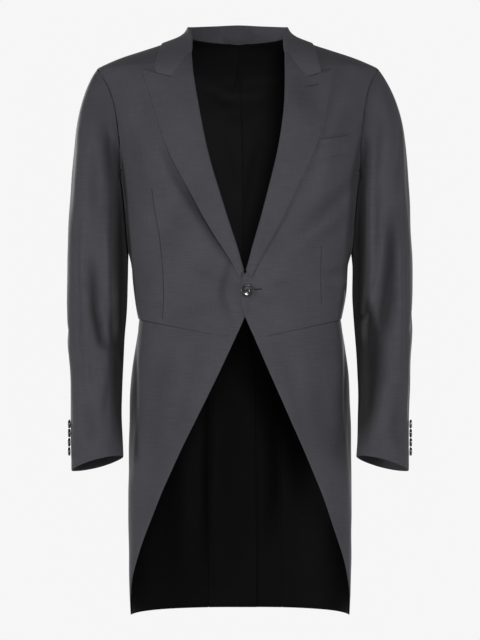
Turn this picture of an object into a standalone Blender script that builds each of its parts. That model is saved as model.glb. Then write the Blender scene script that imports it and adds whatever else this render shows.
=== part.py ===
# Single-breasted morning coat with peak lapels, hollow as it hangs when worn.
# Run it with: blender --background --python part.py
#
# +X is the wearer's left, -Y is the front, +Z is up. The origin lies midway between the two
# places where the shoulder seams meet the neck, where the wearer's shoulders carry the coat.
# Tables and sizes are in millimetres; meshes are made in metres.

import bpy
import bmesh
from math import atan2, cos, degrees, pi, radians, sin
from mathutils import Vector

METRES = 0.001

# Cloth and seams
CLOTH = 1.8
LINING = 1.0
SEAM = 0.32
LINING_GAP = 0.35

# Heights of the main lines of the cut
HEM = -958.5
WAIST_SIDE = -468.0
WAIST_DROP = 30.0
NECK_SIDE = -2.0
NECK_DROP = 4.0
LAP_START = -400.0
VENT_TOP = -480.0
VENT_FULL = -530.0
VENT_LAP = 8.5

# The under front at the button and the under tail at the vent dip below the one that laps over
FRONT_LAP_TURN = 58.0
FRONT_LAP_REACH = 18.0
FRONT_LAP_FOOT = -560.0
FRONT_LAP_TOP = -340.0
FRONT_LAP_FADE = 50.0
TAIL_LAP_TURN = 76.0
TAIL_LAP_REACH = 8.0
LAP_ROOM = 0.6

# The shoulders and neck lie a little towards the wearer's right, from this height up
SHOULDER_LEAN = 4.0
LEAN_START = -150.0
LEAN_SPAN = 110.0

# Armhole: centre height, half height, and how far it reaches round to the front and back
ARMHOLE_HEIGHT = -147.0
ARMHOLE_HALF = 93.0
ARMHOLE_FRONT = 15.4
ARMHOLE_BACK = 17.4
ARMHOLE_GAP = 0.4

# Cross sections of the body from hem to neck
BODY = (
    # height, half width, front depth, back depth, squareness
    (-962, 182.0, 96.0, 112.0, 2.4),
    (-880, 184.0, 99.0, 113.0, 2.4),
    (-760, 185.5, 104.0, 116.0, 2.4),
    (-640, 185.0, 109.0, 117.0, 2.4),
    (-570, 182.5, 111.0, 114.5, 2.4),
    (-535, 178.5, 111.5, 109.0, 2.4),
    (-503, 173.5, 111.5, 99.0, 2.4),
    (-468, 168.5, 111.5, 89.0, 2.4),
    (-435, 175.0, 113.0, 85.0, 2.4),
    (-395, 179.8, 117.0, 87.0, 2.4),
    (-354, 183.0, 121.5, 94.0, 2.4),
    (-300, 187.4, 127.0, 103.0, 2.4),
    (-240, 193.5, 130.0, 113.0, 2.4),
    (-195, 202.0, 129.0, 119.0, 2.4),
    (-147, 213.0, 124.0, 121.0, 2.4),
    (-110, 220.5, 115.5, 117.0, 2.35),
    (-80, 227.5, 104.5, 111.5, 2.3),
    (-60, 234.5, 93.0, 106.0, 2.3),
    (-50, 224.5, 85.0, 102.5, 2.3),
    (-40, 197.0, 74.5, 98.0, 2.3),
    (-30, 166.5, 62.5, 93.0, 2.25),
    (-20, 135.0, 50.0, 87.0, 2.25),
    (-10, 107.0, 38.0, 79.5, 2.2),
    (-2, 84.0, 29.0, 70.5, 2.2),
    (8, 82.0, 26.0, 69.0, 2.2),
)

# How far the centre lines lie towards the wearer's left
CENTRE_LINES = (
    # height, front, back
    (-962, 8.0, 12.0),
    (-468, 8.0, 8.0),
    (-395, 8.0, 6.0),
    (-200, 5.0, 4.0),
    (-60, 2.5, 2.0),
    (8, 1.0, 1.0),
)

# The front edge: the cutaway, the lap at the button, the roll line and the neck seam
FRONT_EDGE = (
    # height, distance from the centre line
    (-962, 187.5),
    (-893, 177.0),
    (-846, 164.0),
    (-796, 148.0),
    (-758, 134.0),
    (-726, 120.0),
    (-694, 106.5),
    (-658, 89.5),
    (-578, 51.5),
    (-530, 29.5),
    (-502, 17.0),
    (-483, 7.5),
    (-464, -0.5),
    (-447, -7.5),
    (-430, -9.5),
    (-411, -7.0),
    (-400, -1.5),
    (-392, 3.2),
    (-371, 9.4),
    (-350, 15.0),
    (-319, 25.2),
    (-271, 38.8),
    (-219, 53.4),
    (-185, 61.2),
    (-162, 65.2),
    (-117, 72.0),
    (-75, 75.8),
    (-38, 77.6),
    (-20, 79.4),
    (-2, 82.2),
)
TAIL_CURVE = -846.0
TAIL_CORNER = 5.0

# The seam between the side body and the back, and below it the pleat of the tail
BACK_SEAM = (
    # height, turn
    (-962, 60.0),
    (-700, 61.0),
    (-520, 62.0),
    (-468, 61.5),
    (-430, 59.5),
    (-380, 55.0),
    (-320, 45.5),
    (-260, 32.0),
    (-220, 22.0),
    (-186, 15.77),
)
SIDE_SEAM_WAIST = -12.0

# Front dart from below the chest to the waist
DART = (
    # height, distance from the centre line, depth of the stitched groove
    (-468, 128.0, 0.9),
    (-440, 125.0, 1.0),
    (-355, 133.0, 0.9),
    (-290, 142.0, 0.5),
    (-262, 145.5, 0.0),
    (-160, 150.0, 0.0),
    (-100, 160.0, 0.0),
    (-54, 172.0, 0.0),
)

# Places round the armhole: 0 is the shoulder point, -90 the front, 90 the back, 180 the underarm
FRONT_NODES = (-145, -120, -100, -80, -60, -40, -20, 0)
SIDE_NODES = (-145, -157.5, -170, -182.5, -195, -207.5, -220, -232.5, -245)
BACK_NODES = (115, 95, 75, 55, 40, 20, 0)
TOP_SLEEVE_NODES = (-145, -120, -100, -80, -60, -40, -20, 0, 20, 40, 55)
UNDER_SLEEVE_NODES = (55, 75, 95, 115, 127.5, 140, 152.5, 165, 177.5, 190, 202.5, 215)
FRONT_SLEEVE_SEAM = -145.0
BACK_SLEEVE_SEAM = 55.0
CUFF_BACK_SEAM = 14.0

# Heights where the panels' rows lie
FOREPART_ROWS = (-440, -410, -400, -391, -380, -350, -318, -285, -252)
SHOULDER_ROWS = (-42, -30, -19, -10)
TAIL_ROWS = (-958.5, -885, -810, -730, -650, -580, -525, -468)
BACK_ROWS = (-430, -390, -350, -310, -270, -235, -208)
SIDE_FRONT_ROWS = (-468, -438, -405, -370, -335, -303, -273, -246, -223)
SIDE_BACK_ROWS = (-468, -430, -390, -350, -310, -270, -235, -208, -186.3)
SKIRT_ROWS = 10
BACK_SHARES = (0, 0.15, 0.32, 0.52, 0.76, 1)
# From the front edge to the dart, and from the dart to the side seam
FOREPART_FRONT_SHARES = (0, 0.16, 0.36, 0.56, 0.78, 1)
FOREPART_SIDE_SHARES = (0.28, 0.62, 1)
DART_COLUMN = 5
DART_TOP = -262.0
SKIRT_SHARES = (0, 0.08, 0.18, 0.29, 0.4, 0.5, 0.6, 0.7, 0.8, 0.9, 1)

# The linings end short of the hem, the upper seams and the front edge
LINING_HEM = 5.0
LINING_TOP = 2.0
LINING_EDGE = 3.5

# Lapel sections from the break to the gorge
LAPEL = (
    # roll height, edge height, edge distance, dip of the gorge
    (-391, -403, 9.5, 0.0),
    (-380, -392, 14.5, 0.0),
    (-366, -380, 20.0, 0.0),
    (-350, -366, 27.5, 0.0),
    (-319, -342, 42.5, 0.0),
    (-290, -311, 60.0, 0.0),
    (-255, -279, 76.0, 0.0),
    (-219, -247, 92.0, 0.0),
    (-190, -223, 104.5, 0.0),
    (-162, -196, 118.0, 0.0),
    (-130, -163, 130.5, 1.5),
    (-98, -127, 139.5, 6.0),
    (-68, -92, 148.0, 17.0),
    (-38, -66, 155.5, 32.5),
)
GORGE_SHARE = 0.38
ROLL_RADIUS = 2.5
ROLL_TURNS = (-90, -45, 0, 45, 90)
# share of the width, height of the lapel's face over the front
LAPEL_LIFT = (
    (0.12, 4.2),
    (0.25, 4.15),
    (0.38, 3.95),
    (0.7, 3.3),
    (1.0, 2.8),
)

# The gorge, where the collar meets the lapel: shares of the lapel's width, and the gap
GORGE_SHARES = (0.12, 0.25, 0.38, 0.7)
GORGE_GAP = 0.75

# Collar sections: place is -1 at the gorge, 0 over the shoulder, 1 in the middle of the back
COLLAR = (
    # place, stand height, lean to the neck, edge x, edge y, edge z
    (-1.0, 0.3, 0.97, 134.5, -86.0, -70.6),
    (-0.8, 2.0, 0.85, 132.5, -80.5, -60.0),
    (-0.5, 4.2, 0.6, 128.5, -64.0, -43.0),
    (-0.25, 8.0, 0.36, 125.0, -40.0, -27.0),
    (-0.1, 10.5, 0.24, 123.4, -20.0, -16.5),
    (0.0, 12.5, 0.16, 122.0, 3.0, -11.5),
    (0.31, 19.0, 0.08, 112.0, 45.0, -12.0),
    (0.64, 26.0, 0.05, 70.0, 81.0, -14.0),
    (1.0, 30.5, 0.03, 0.0, 94.0, -15.0),
)
COLLAR_LIFT = 3.3
GORGE_HEIGHT = -37.0

# Sleeve sections below the armhole
SLEEVE = (
    # inner height, inner x, outer height, outer x, front y, back y, squareness
    (-246, 195.6, -72, 243.5, -63, 71, 2.1),
    (-252, 194.6, -103, 258.5, -70, 76, 2.15),
    (-260, 193.2, -145, 270.0, -74, 78, 2.2),
    (-271, 191.4, -192, 275.0, -75, 77, 2.2),
    (-297, 188.7, -256, 280.0, -73, 74, 2.2),
    (-337, 186.0, -318, 283.5, -71, 70, 2.2),
    (-385, 184.5, -378, 285.5, -69, 64, 2.2),
    (-435, 184.5, -436, 285.5, -69, 56, 2.2),
    (-483, 187.5, -488, 284.5, -73, 46, 2.2),
    (-543, 192.0, -551, 280.0, -81, 31, 2.15),
    (-608, 193.0, -622, 276.5, -91, 12, 2.05),
    (-660, 190.5, -678, 275.5, -98, -4, 1.9),
    (-691, 188.0, -714, 274.5, -102, -14, 1.8),
)
SLEEVE_ROWS = (0, 0.45, 1, 2, 3, 4, 5, 6, 7, 8, 9, 10, 11, 12, 12.6, 13)
CUFF_SLANT = 0.22

# Soft folds in the sleeves
SLEEVE_FOLDS = (
    # side, place round the sleeve, place along it, reach round, reach along, depth
    (1, -52, 6.5, 17, 2.4, 2.6),
    (1, -20, 7.4, 15, 2.2, 2.2),
    (1, -128, 7.8, 26, 1.1, 3.0),
    (-1, -70, 7.0, 22, 2.6, 1.6),
    (-1, -132, 8.0, 24, 1.0, 2.2),
)

# Buttons: diameter and thickness, and how far each stands off the cloth it is sewn to
FRONT_BUTTON = (20.0, 3.8)
FRONT_BUTTON_PLACE = (3.5, -423.0)
FRONT_BUTTON_LIFT = 0.6
WAIST_BUTTON_LIFT = 1.7
CUFF_BUTTON = (13.8, 2.9)
CUFF_BUTTON_LIFT = 0.9
CUFF_BUTTON_LOWEST = -683.5
CUFF_BUTTON_PITCH = 14.7

# Breast welt: inner end, outer end, lower and upper edges
WELT_TOP = (131.0, -181.5, 174.0, -172.5)
WELT_BOTTOM = (116.5, -212.5, 165.0, -203.5)

# Hanging loop inside the neck: its ends as shares of the way round to the middle of the back,
# its lean with the collar, width, thickness, height of its ends over the seam, sag and bow
LOOP_ENDS = (-0.24, 0.24)
LOOP_LEAN = 0.05
LOOP_WIDTH = 6.5
LOOP_THICKNESS = 1.2
LOOP_RISE = 5.0
LOOP_SAG = 6.5
LOOP_BOW = 2.5
LOOP_ROWS = 10

CLOTH_COLOUR = (0.052, 0.053, 0.060)
LINING_COLOUR = (0.008, 0.008, 0.010)
BUTTON_COLOUR = (0.006, 0.006, 0.007)


def mix(first, last, share):
    return first + (last - first) * share


def ease(value):
    value = max(0.0, min(1.0, value))
    return value * value * (3.0 - 2.0 * value)


def smooth(table, place, column):
    # Value of a column at a place, on a smooth curve through the table's rows
    rows = [(row[0], row[column]) for row in table]
    if place <= rows[0][0]:
        return rows[0][1]
    if place >= rows[-1][0]:
        return rows[-1][1]
    index = max(i for i in range(len(rows) - 1) if rows[i][0] <= place)

    def chord(i):
        return (rows[i + 1][1] - rows[i][1]) / (rows[i + 1][0] - rows[i][0])

    def slope(i):
        if i == 0:
            return chord(0)
        if i == len(rows) - 1:
            return chord(i - 1)
        before, after = chord(i - 1), chord(i)
        if before * after <= 0.0:
            return 0.0
        return 2.0 * before * after / (before + after)

    span = rows[index + 1][0] - rows[index][0]
    t = (place - rows[index][0]) / span
    start, end = rows[index][1], rows[index + 1][1]
    return (
        (2 * t**3 - 3 * t**2 + 1) * start
        + (t**3 - 2 * t**2 + t) * span * slope(index)
        + (3 * t**2 - 2 * t**3) * end
        + (t**3 - t**2) * span * slope(index + 1)
    )


def between(points, place):
    # Point at a place (in steps) on a smooth curve through a list of vectors
    last = len(points) - 1
    index = min(int(place), last - 1)
    t = place - index
    p1, p2 = points[index], points[index + 1]
    p0 = points[index - 1] if index > 0 else p1 * 2 - p2
    p3 = points[index + 2] if index + 2 <= last else p2 * 2 - p1
    return (
        p1 * 2
        + (p2 - p0) * t
        + (p0 * 2 - p1 * 5 + p2 * 4 - p3) * t**2
        + (p1 * 3 - p0 - p2 * 3 + p3) * t**3
    ) / 2


def lap_depth(side, turn, height):
    # The wearer's right front lies under the left one, and the right tail under the left
    if side > 0:
        return 0.0
    if turn < 0:
        depth = ease((-turn - FRONT_LAP_TURN) / FRONT_LAP_REACH)
        depth *= ease((height - FRONT_LAP_FOOT) / FRONT_LAP_FADE)
        depth *= ease((FRONT_LAP_TOP - height) / FRONT_LAP_FADE)
    else:
        depth = ease((turn - TAIL_LAP_TURN) / TAIL_LAP_REACH) * ease((LAP_START - height) / (LAP_START - WAIST_SIDE))
    return depth * (CLOTH + LAP_ROOM)


def body_base(side, turn, height):
    half = smooth(BODY, height, 1)
    depth = smooth(BODY, height, 2 if turn < 0 else 3)
    power = smooth(BODY, height, 4)
    across, along = cos(radians(turn)), sin(radians(turn))
    reach = (abs(across / half) ** power + abs(along / depth) ** power) ** (-1 / power)
    shift = smooth(CENTRE_LINES, height, 1 if turn < 0 else 2) * along**2
    return Vector((side * reach * across + shift, reach * along, height))


def body_normal(side, turn, height):
    across = body_base(side, turn + 0.6, height) - body_base(side, turn - 0.6, height)
    along = body_base(side, turn, height + 2.5) - body_base(side, turn, height - 2.5)
    return across.cross(along).normalized() * side


def body_point(side, turn, height, lift=0.0):
    depth = lap_depth(side, turn, height)
    return body_base(side, turn, height) + body_normal(side, turn, height) * (lift - depth)


def front_turn_at(distance, height):
    # Turn of a place on the front, given its distance from the centre line
    half = smooth(BODY, height, 1)
    power = smooth(BODY, height, 4)
    share = min(abs(distance) / half, 0.9999)
    depth = smooth(BODY, height, 2) * (1 - share**power) ** (1 / power)
    return degrees(atan2(-depth, distance))


def front_point(side, distance, height, lift=0.0):
    return body_point(side, front_turn_at(distance, height), height, lift)


def front_edge_turn(height):
    if height >= TAIL_CURVE:
        return front_turn_at(smooth(FRONT_EDGE, height, 1), height)
    start = front_turn_at(smooth(FRONT_EDGE, TAIL_CURVE, 1), TAIL_CURVE)
    return mix(start, TAIL_CORNER, (TAIL_CURVE - height) / (TAIL_CURVE - HEM))


def waist_height(turn):
    drop = sin(radians(turn)) ** 2 if turn < 0 else 0.0
    return WAIST_SIDE - WAIST_DROP * drop


def neck_height(turn):
    return NECK_SIDE - NECK_DROP * sin(radians(turn)) ** 2


def armhole(node):
    # Turn and height of a place round the armhole
    reach = ARMHOLE_FRONT if sin(radians(node)) < 0 else ARMHOLE_BACK
    return reach * sin(radians(node)), ARMHOLE_HEIGHT + ARMHOLE_HALF * cos(radians(node))


def body_grid(side, places):
    # Points and normals for rows of (turn, height)
    points = [[body_point(side, turn, height) for turn, height in row] for row in places]
    normals = [[body_normal(side, turn, height) for turn, height in row] for row in places]
    return points, normals


def inset(points, normals, first=SEAM / 2, last=SEAM / 2, bottom=SEAM / 2, top=SEAM / 2):
    # The grid drawn in from its four edges, along its own rows and columns
    rows, columns = len(points), len(points[0])
    points = [list(row) for row in points]
    normals = [list(row) for row in normals]

    def draw(j, i, jn, in_, distance):
        step = points[jn][in_] - points[j][i]
        share = distance / step.length
        points[j][i] = points[j][i] + step * share
        normals[j][i] = normals[j][i].lerp(normals[jn][in_], share).normalized()

    for j in range(rows):
        draw(j, 0, j, 1, first)
        draw(j, columns - 1, j, columns - 2, last)
    for i in range(columns):
        draw(0, i, 1, i, bottom)
        draw(rows - 1, i, rows - 2, i, top)
    return points, normals


def material(name, colour, roughness, coat=0.0):
    made = bpy.data.materials.new(name)
    made.use_nodes = True
    shader = made.node_tree.nodes["Principled BSDF"]
    shader.inputs["Base Color"].default_value = (*colour, 1.0)
    shader.inputs["Roughness"].default_value = roughness
    shader.inputs["Metallic"].default_value = 0.0
    shader.inputs["Coat Weight"].default_value = coat
    made.diffuse_color = (*colour, 1.0)
    return made


def leaned(point):
    # In metres, with the neck and shoulders drawn a little towards the wearer's right
    shift = SHOULDER_LEAN * ease((point.z - LEAN_START) / LEAN_SPAN)
    return (point - Vector((shift, 0, 0))) * METRES


def wall(name, outer, inner, finish):
    # A closed wall between two equal grids of points
    rows, columns = len(outer), len(outer[0])
    count = rows * columns
    corners = [leaned(point) for grid in (outer, inner) for row in grid for point in row]

    def at(layer, j, i):
        return layer * count + j * columns + i

    faces = []
    for j in range(rows - 1):
        for i in range(columns - 1):
            faces.append((at(0, j, i), at(0, j, i + 1), at(0, j + 1, i + 1), at(0, j + 1, i)))
            faces.append((at(1, j + 1, i), at(1, j + 1, i + 1), at(1, j, i + 1), at(1, j, i)))
    for j in range(rows - 1):
        for i in (0, columns - 1):
            faces.append((at(0, j, i), at(0, j + 1, i), at(1, j + 1, i), at(1, j, i)))
    for i in range(columns - 1):
        for j in (0, rows - 1):
            faces.append((at(0, j, i), at(0, j, i + 1), at(1, j, i + 1), at(1, j, i)))
    mesh = bpy.data.meshes.new(name)
    mesh.from_pydata(corners, [], faces)
    form = bmesh.new()
    form.from_mesh(mesh)
    bmesh.ops.triangulate(form, faces=form.faces[:])
    bmesh.ops.recalc_face_normals(form, faces=form.faces[:])
    form.to_mesh(mesh)
    form.free()
    mesh.shade_smooth()
    mesh.set_sharp_from_angle(angle=radians(60))
    piece = bpy.data.objects.new(name, mesh)
    piece.data.materials.append(finish)
    bpy.context.collection.objects.link(piece)
    return piece


def cloth_wall(name, points, normals, thickness=CLOTH, lift=0.0):
    outer = [[p + n * lift for p, n in zip(*pair)] for pair in zip(points, normals)]
    inner = [[p + n * (lift - thickness) for p, n in zip(*pair)] for pair in zip(points, normals)]
    return wall(name, outer, inner, material(name, CLOTH_COLOUR, 0.85))


def lining_wall(name, points, normals):
    lift = -CLOTH - LINING_GAP
    outer = [[p + n * lift for p, n in zip(*pair)] for pair in zip(points, normals)]
    inner = [[p + n * (lift - LINING) for p, n in zip(*pair)] for pair in zip(points, normals)]
    return wall(name, outer, inner, material(name, LINING_COLOUR, 0.45))


def forepart(side, name):
    places = []
    heights = list(FOREPART_ROWS) + [armhole(node)[1] for node in FRONT_NODES]
    heights += list(SHOULDER_ROWS) + [NECK_SIDE]

    def outer_turn(height):
        lowest = armhole(FRONT_NODES[0])[1]
        if height > armhole(0)[1] - 0.01:
            return 0.0
        if height >= lowest - 0.01:
            nodes = [armhole(node) for node in FRONT_NODES]
            return min(nodes, key=lambda place: abs(place[1] - height))[0]
        share = (height - WAIST_SIDE) / (lowest - WAIST_SIDE)
        return mix(SIDE_SEAM_WAIST, armhole(FRONT_NODES[0])[0], share)

    def row(height):
        first, last = front_edge_turn(height), outer_turn(height)
        dart = front_turn_at(min(smooth(DART, height, 1), 0.93 * smooth(BODY, height, 1)), height)
        if height > armhole(0)[1] + 0.01:
            dart = mix(first, last, 0.62)
        turns = [mix(first, dart, share) for share in FOREPART_FRONT_SHARES]
        return turns + [mix(dart, last, share) for share in FOREPART_SIDE_SHARES]

    waist = []
    for place, turn in enumerate(row(WAIST_SIDE)):
        if place == 0:
            turn = front_edge_turn(waist_height(-90))
        waist.append((turn, waist_height(turn)))
    first_row = [(turn, -440) for turn in row(-440)]
    places.append(waist)
    places.append([(mix(a[0], b[0], 0.5), mix(a[1], b[1], 0.5)) for a, b in zip(waist, first_row)])
    middle = places[1][0][1]
    places[1][0] = (front_edge_turn(middle), middle)
    for height in heights:
        places.append([(turn, height) for turn in row(height)])
    points, normals = body_grid(side, places)
    for row_points, row_normals in zip(points, normals):
        groove = smooth(DART, row_points[5].z, 2) if row_points[DART_COLUMN].z < DART_TOP else 0.0
        row_points[5] = row_points[5] - row_normals[5] * groove
    points, normals = inset(points, normals)
    return cloth_wall(name, points, normals)


def side_body(side, name):
    tops = [armhole(node) for node in SIDE_NODES]
    shares = [(turn - tops[0][0]) / (tops[-1][0] - tops[0][0]) for turn, _ in tops]
    places = []
    for front, back in zip(SIDE_FRONT_ROWS, SIDE_BACK_ROWS):
        rise_front = (front - WAIST_SIDE) / (tops[0][1] - WAIST_SIDE)
        rise_back = (back - WAIST_SIDE) / (tops[-1][1] - WAIST_SIDE)
        first = mix(SIDE_SEAM_WAIST, tops[0][0], rise_front)
        last = smooth(BACK_SEAM, back, 1)
        row = []
        for share, top in zip(shares, tops):
            turn = mix(first, last, share)
            foot = waist_height(turn)
            row.append((turn, foot + (top[1] - foot) * mix(rise_front, rise_back, share)))
        places.append(row)
    places[-1] = tops
    return cloth_wall(name, *inset(*body_grid(side, places)))


def back_places(side, lined=False):
    tail_end = 90 + VENT_LAP if side < 0 else 90
    if lined and side > 0:
        tail_end = 90 - VENT_LAP - 2
    heights = list(TAIL_ROWS) + list(BACK_ROWS)
    ends = [(smooth(BACK_SEAM, height, 1), height) for height in heights]
    ends += [armhole(node) for node in BACK_NODES]
    ends += [(0.0, height) for height in SHOULDER_ROWS] + [(0.0, None)]
    places = []
    for turn, height in ends:
        vent = ease((VENT_TOP - height) / (VENT_TOP - VENT_FULL)) if height is not None else 0.0
        last = mix(90, tail_end, vent)
        row = [mix(turn, last, share) for share in BACK_SHARES]
        places.append([(t, neck_height(t) if height is None else height) for t in row])
    return places


def back(side, name):
    return cloth_wall(name, *inset(*body_grid(side, back_places(side))))


def back_lining(side, name):
    points, normals = body_grid(side, back_places(side, lined=True))
    return lining_wall(name, *inset(
        points, normals, first=SEAM, last=SEAM, bottom=LINING_HEM, top=LINING_TOP))


def skirt_places():
    places = []
    for step in range(SKIRT_ROWS + 1):
        fall = step / SKIRT_ROWS
        edge = mix(waist_height(-90), HEM, fall)
        for _ in range(6):
            edge = mix(waist_height(front_edge_turn(edge)), HEM, fall)
        first = front_edge_turn(edge)
        last = smooth(BACK_SEAM, mix(WAIST_SIDE, HEM, fall), 1)
        row = []
        for share in SKIRT_SHARES:
            turn = mix(first, last, share)
            row.append((turn, mix(waist_height(turn), HEM, fall)))
        places.append(row)
    return places[::-1]


def skirt(side, name):
    return cloth_wall(name, *inset(*body_grid(side, skirt_places())))


def skirt_lining(side, name):
    points, normals = body_grid(side, skirt_places())
    return lining_wall(name, *inset(
        points, normals, first=LINING_EDGE, last=SEAM, bottom=LINING_HEM, top=LINING_TOP))


def mesh_normals(points, outward, known):
    # Normals of a grid from its own rows and columns, after the first ones, which are known
    rows, columns = len(points), len(points[0])
    normals = []
    for j in range(rows):
        line = []
        for i in range(columns):
            across = points[j][min(i + 1, columns - 1)] - points[j][max(i - 1, 0)]
            along = points[min(j + 1, rows - 1)][i] - points[max(j - 1, 0)][i]
            line.append(across.cross(along).normalized() * outward)
        normals.append(known[j] + line[len(known[j]):])
    return normals


def lapel_row(side, roll_height):
    # Face of the lapel at one height of the roll line, from inside the roll to the edge
    roll = smooth(FRONT_EDGE, roll_height, 1)
    seam = front_turn_at(roll, roll_height)
    start = body_point(side, seam, roll_height)
    normal = body_normal(side, seam, roll_height)
    inward = (front_point(side, roll - 2, roll_height) - start).normalized()
    centre = start + inward * SEAM + normal * (ROLL_RADIUS - CLOTH)
    known = []
    for turn in ROLL_TURNS:
        known.append(inward * cos(radians(turn)) + normal * sin(radians(turn)))
    row = [centre + direction * ROLL_RADIUS for direction in known]
    for share, lift in LAPEL_LIFT:
        place, facing = lapel_place(side, roll_height, share, lift)
        row.append(place)
        known.append(facing)
    return row, known


def lapel_place(side, roll_height, share, lift, rise=0.0):
    # Place on the lapel, by share of its width from the roll line to its edge
    roll = smooth(FRONT_EDGE, roll_height, 1)
    edge_height, edge, dip = (smooth(LAPEL, roll_height, column) for column in (1, 2, 3))
    peak = min(share / GORGE_SHARE, (1 - share) / (1 - GORGE_SHARE))
    height = mix(roll_height, edge_height, share) - dip * peak + rise
    turn = front_turn_at(mix(roll, edge, share), height)
    return body_point(side, turn, height, lift), body_normal(side, turn, height)


def lapel(side, name):
    heights = [-391, -380, -366] + [height for height in FOREPART_ROWS if height > -366]
    heights += [armhole(node)[1] for node in FRONT_NODES[:6]] + [-58, LAPEL[-1][0]]
    rows = [lapel_row(side, height) for height in heights]
    points, normals = [row for row, _ in rows], [known for _, known in rows]
    points, normals = inset(points, normals, first=0.01, last=0.01, bottom=0.01)
    return cloth_wall(name, points, normals)


def cleared(side, point, lift):
    # The point, moved out where it lies closer to the body than the lift
    turn = degrees(atan2(point.y, point.x * side))
    normal = body_normal(side, turn, point.z)
    gap = (point - body_base(side, turn, point.z)).dot(normal)
    return point + normal * max(0.0, lift - gap)


def neck_seam(side, place):
    # Point of the neck seam: down the front to the gorge, or round the back
    if place < 0:
        height = mix(NECK_SIDE, GORGE_HEIGHT, -place)
        return body_point(side, front_edge_turn(height), height)
    return body_point(side, 90 * place, neck_height(90 * place))


def collar_row(side, place):
    # Face of the collar at one place: up the stand, over the fold and down the fall
    stand, lean, edge_x, edge_y, edge_z = (smooth(COLLAR, place, column) for column in range(1, 6))
    seam = neck_seam(side, place)
    before, after = neck_seam(side, max(place - 0.04, -1)), neck_seam(side, min(place + 0.04, 1))
    along = (after - before).normalized()
    inward = Vector((-seam.x, -seam.y * (place > 0), 0)).normalized()
    up = inward * lean + Vector((0, 0, 1)) * (1 - lean)
    up = (up - along * up.dot(along)).normalized()
    out = along.cross(up).normalized() * side
    if place <= -1:
        up = (front_point(side, smooth(FRONT_EDGE, seam.z, 1) - 2, seam.z) - seam).normalized()
        out = body_normal(side, front_edge_turn(seam.z), seam.z)
    start = seam + up * SEAM - out * CLOTH
    centre = start + up * stand + out * ROLL_RADIUS
    known = [-out]
    for turn in ROLL_TURNS:
        known.append(up * cos(radians(turn)) + out * sin(radians(turn)))
    row = [start] + [centre + direction * ROLL_RADIUS for direction in known[1:]]
    top = row[-1]
    if place <= -1:
        gorge = LAPEL[-1][0]
        for share in GORGE_SHARES:
            lift = smooth(LAPEL_LIFT, share, 1)
            spot, facing = lapel_place(side, gorge, share, lift, GORGE_GAP)
            row.append(spot)
            known.append(facing)
        return row, known
    edge = Vector((edge_x * side + smooth(CENTRE_LINES, edge_z, 2) * place, edge_y, edge_z))
    pull = top - up * (edge - top).length * 0.3
    for t in (0.25, 0.5, 0.75, 1.0):
        spot = top * (1 - t)**2 + pull * 2 * t * (1 - t) + edge * t**2
        row.append(cleared(side, spot, COLLAR_LIFT))
    return row, known


def collar_middle_row(side, first, second):
    # The row halfway between two others, with its fall kept clear of the body
    row = [a.lerp(b, 0.5) for a, b in zip(first[0], second[0])]
    known = [a.lerp(b, 0.5).normalized() for a, b in zip(first[1], second[1])]
    fall = len(ROLL_TURNS) + 1
    return row[:fall] + [cleared(side, spot, COLLAR_LIFT) for spot in row[fall:]], known


def collar(name):
    fronts = [(height - NECK_SIDE) / (NECK_SIDE - GORGE_HEIGHT) for height in SHOULDER_ROWS[1:]]
    places = [-1.0] + fronts + [-0.1, -0.001, 0.07] + list(BACK_SHARES[1:])
    left = [collar_row(1, place) for place in places]
    left.insert(1, collar_middle_row(1, left[0], left[1]))
    right = [collar_row(-1, place) for place in places[:-1]]
    right.insert(1, collar_middle_row(-1, right[0], right[1]))
    rows = left + right[::-1]
    points = [row for row, _ in rows]
    return cloth_wall(name, points, mesh_normals(points, 1, [known for _, known in rows]))


def sleeve_ring(index, node):
    # Point at a place round one section; section 0 is the armhole
    if index == 0:
        turn, height = armhole(node)
        return body_base(1, turn, height) + Vector((ARMHOLE_GAP, 0, 0))
    in_z, in_x, out_z, out_x, front, rear, power = SLEEVE[index - 1]
    across, along = cos(radians(node)), sin(radians(node))
    reach = (abs(across) ** power + abs(along) ** power) ** (-1 / power)
    across, along = across * reach, along * reach
    slant = CUFF_SLANT * ease((index - 8) / 5)
    depth = (rear - front) / 2
    return Vector((
        mix(in_x, out_x, (across + 1) / 2),
        (front + rear) / 2 + along * depth,
        mix(in_z, out_z, (across + 1) / 2) - along * depth * slant,
    ))


def sleeve_point(side, node, place):
    base = between([sleeve_ring(index, node) for index in range(len(SLEEVE) + 1)], place)
    return Vector((side * base.x, base.y, base.z))


def sleeve_place_at(height):
    # Place along the sleeve where its outside has this height
    low, high = 1.0, float(len(SLEEVE))
    for _ in range(30):
        middle = (low + high) / 2
        if sleeve_point(1, 0, middle).z > height:
            low = middle
        else:
            high = middle
    return low


def sleeve_normal(side, node, place):
    low, high = max(place - 0.05, 0.0), min(place + 0.05, len(SLEEVE))
    across = sleeve_point(side, node + 1, place) - sleeve_point(side, node - 1, place)
    along = sleeve_point(side, node, high) - sleeve_point(side, node, low)
    normal = along.cross(across).normalized() * side
    if place == 0:
        turn, height = armhole(node)
        share = ease((cos(radians(node)) + 0.2) / 0.7)
        normal = normal.lerp(body_normal(side, turn, height), share).normalized()
    return normal


def fold_depth(side, node, place):
    depth = 0.0
    for fold_side, around, along, reach, length, deep in SLEEVE_FOLDS:
        if fold_side == side:
            apart = (node - around + 180) % 360 - 180
            depth += deep * 2.718 ** (-((apart / reach) ** 2) - ((place - along) / length) ** 2)
    return depth


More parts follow.
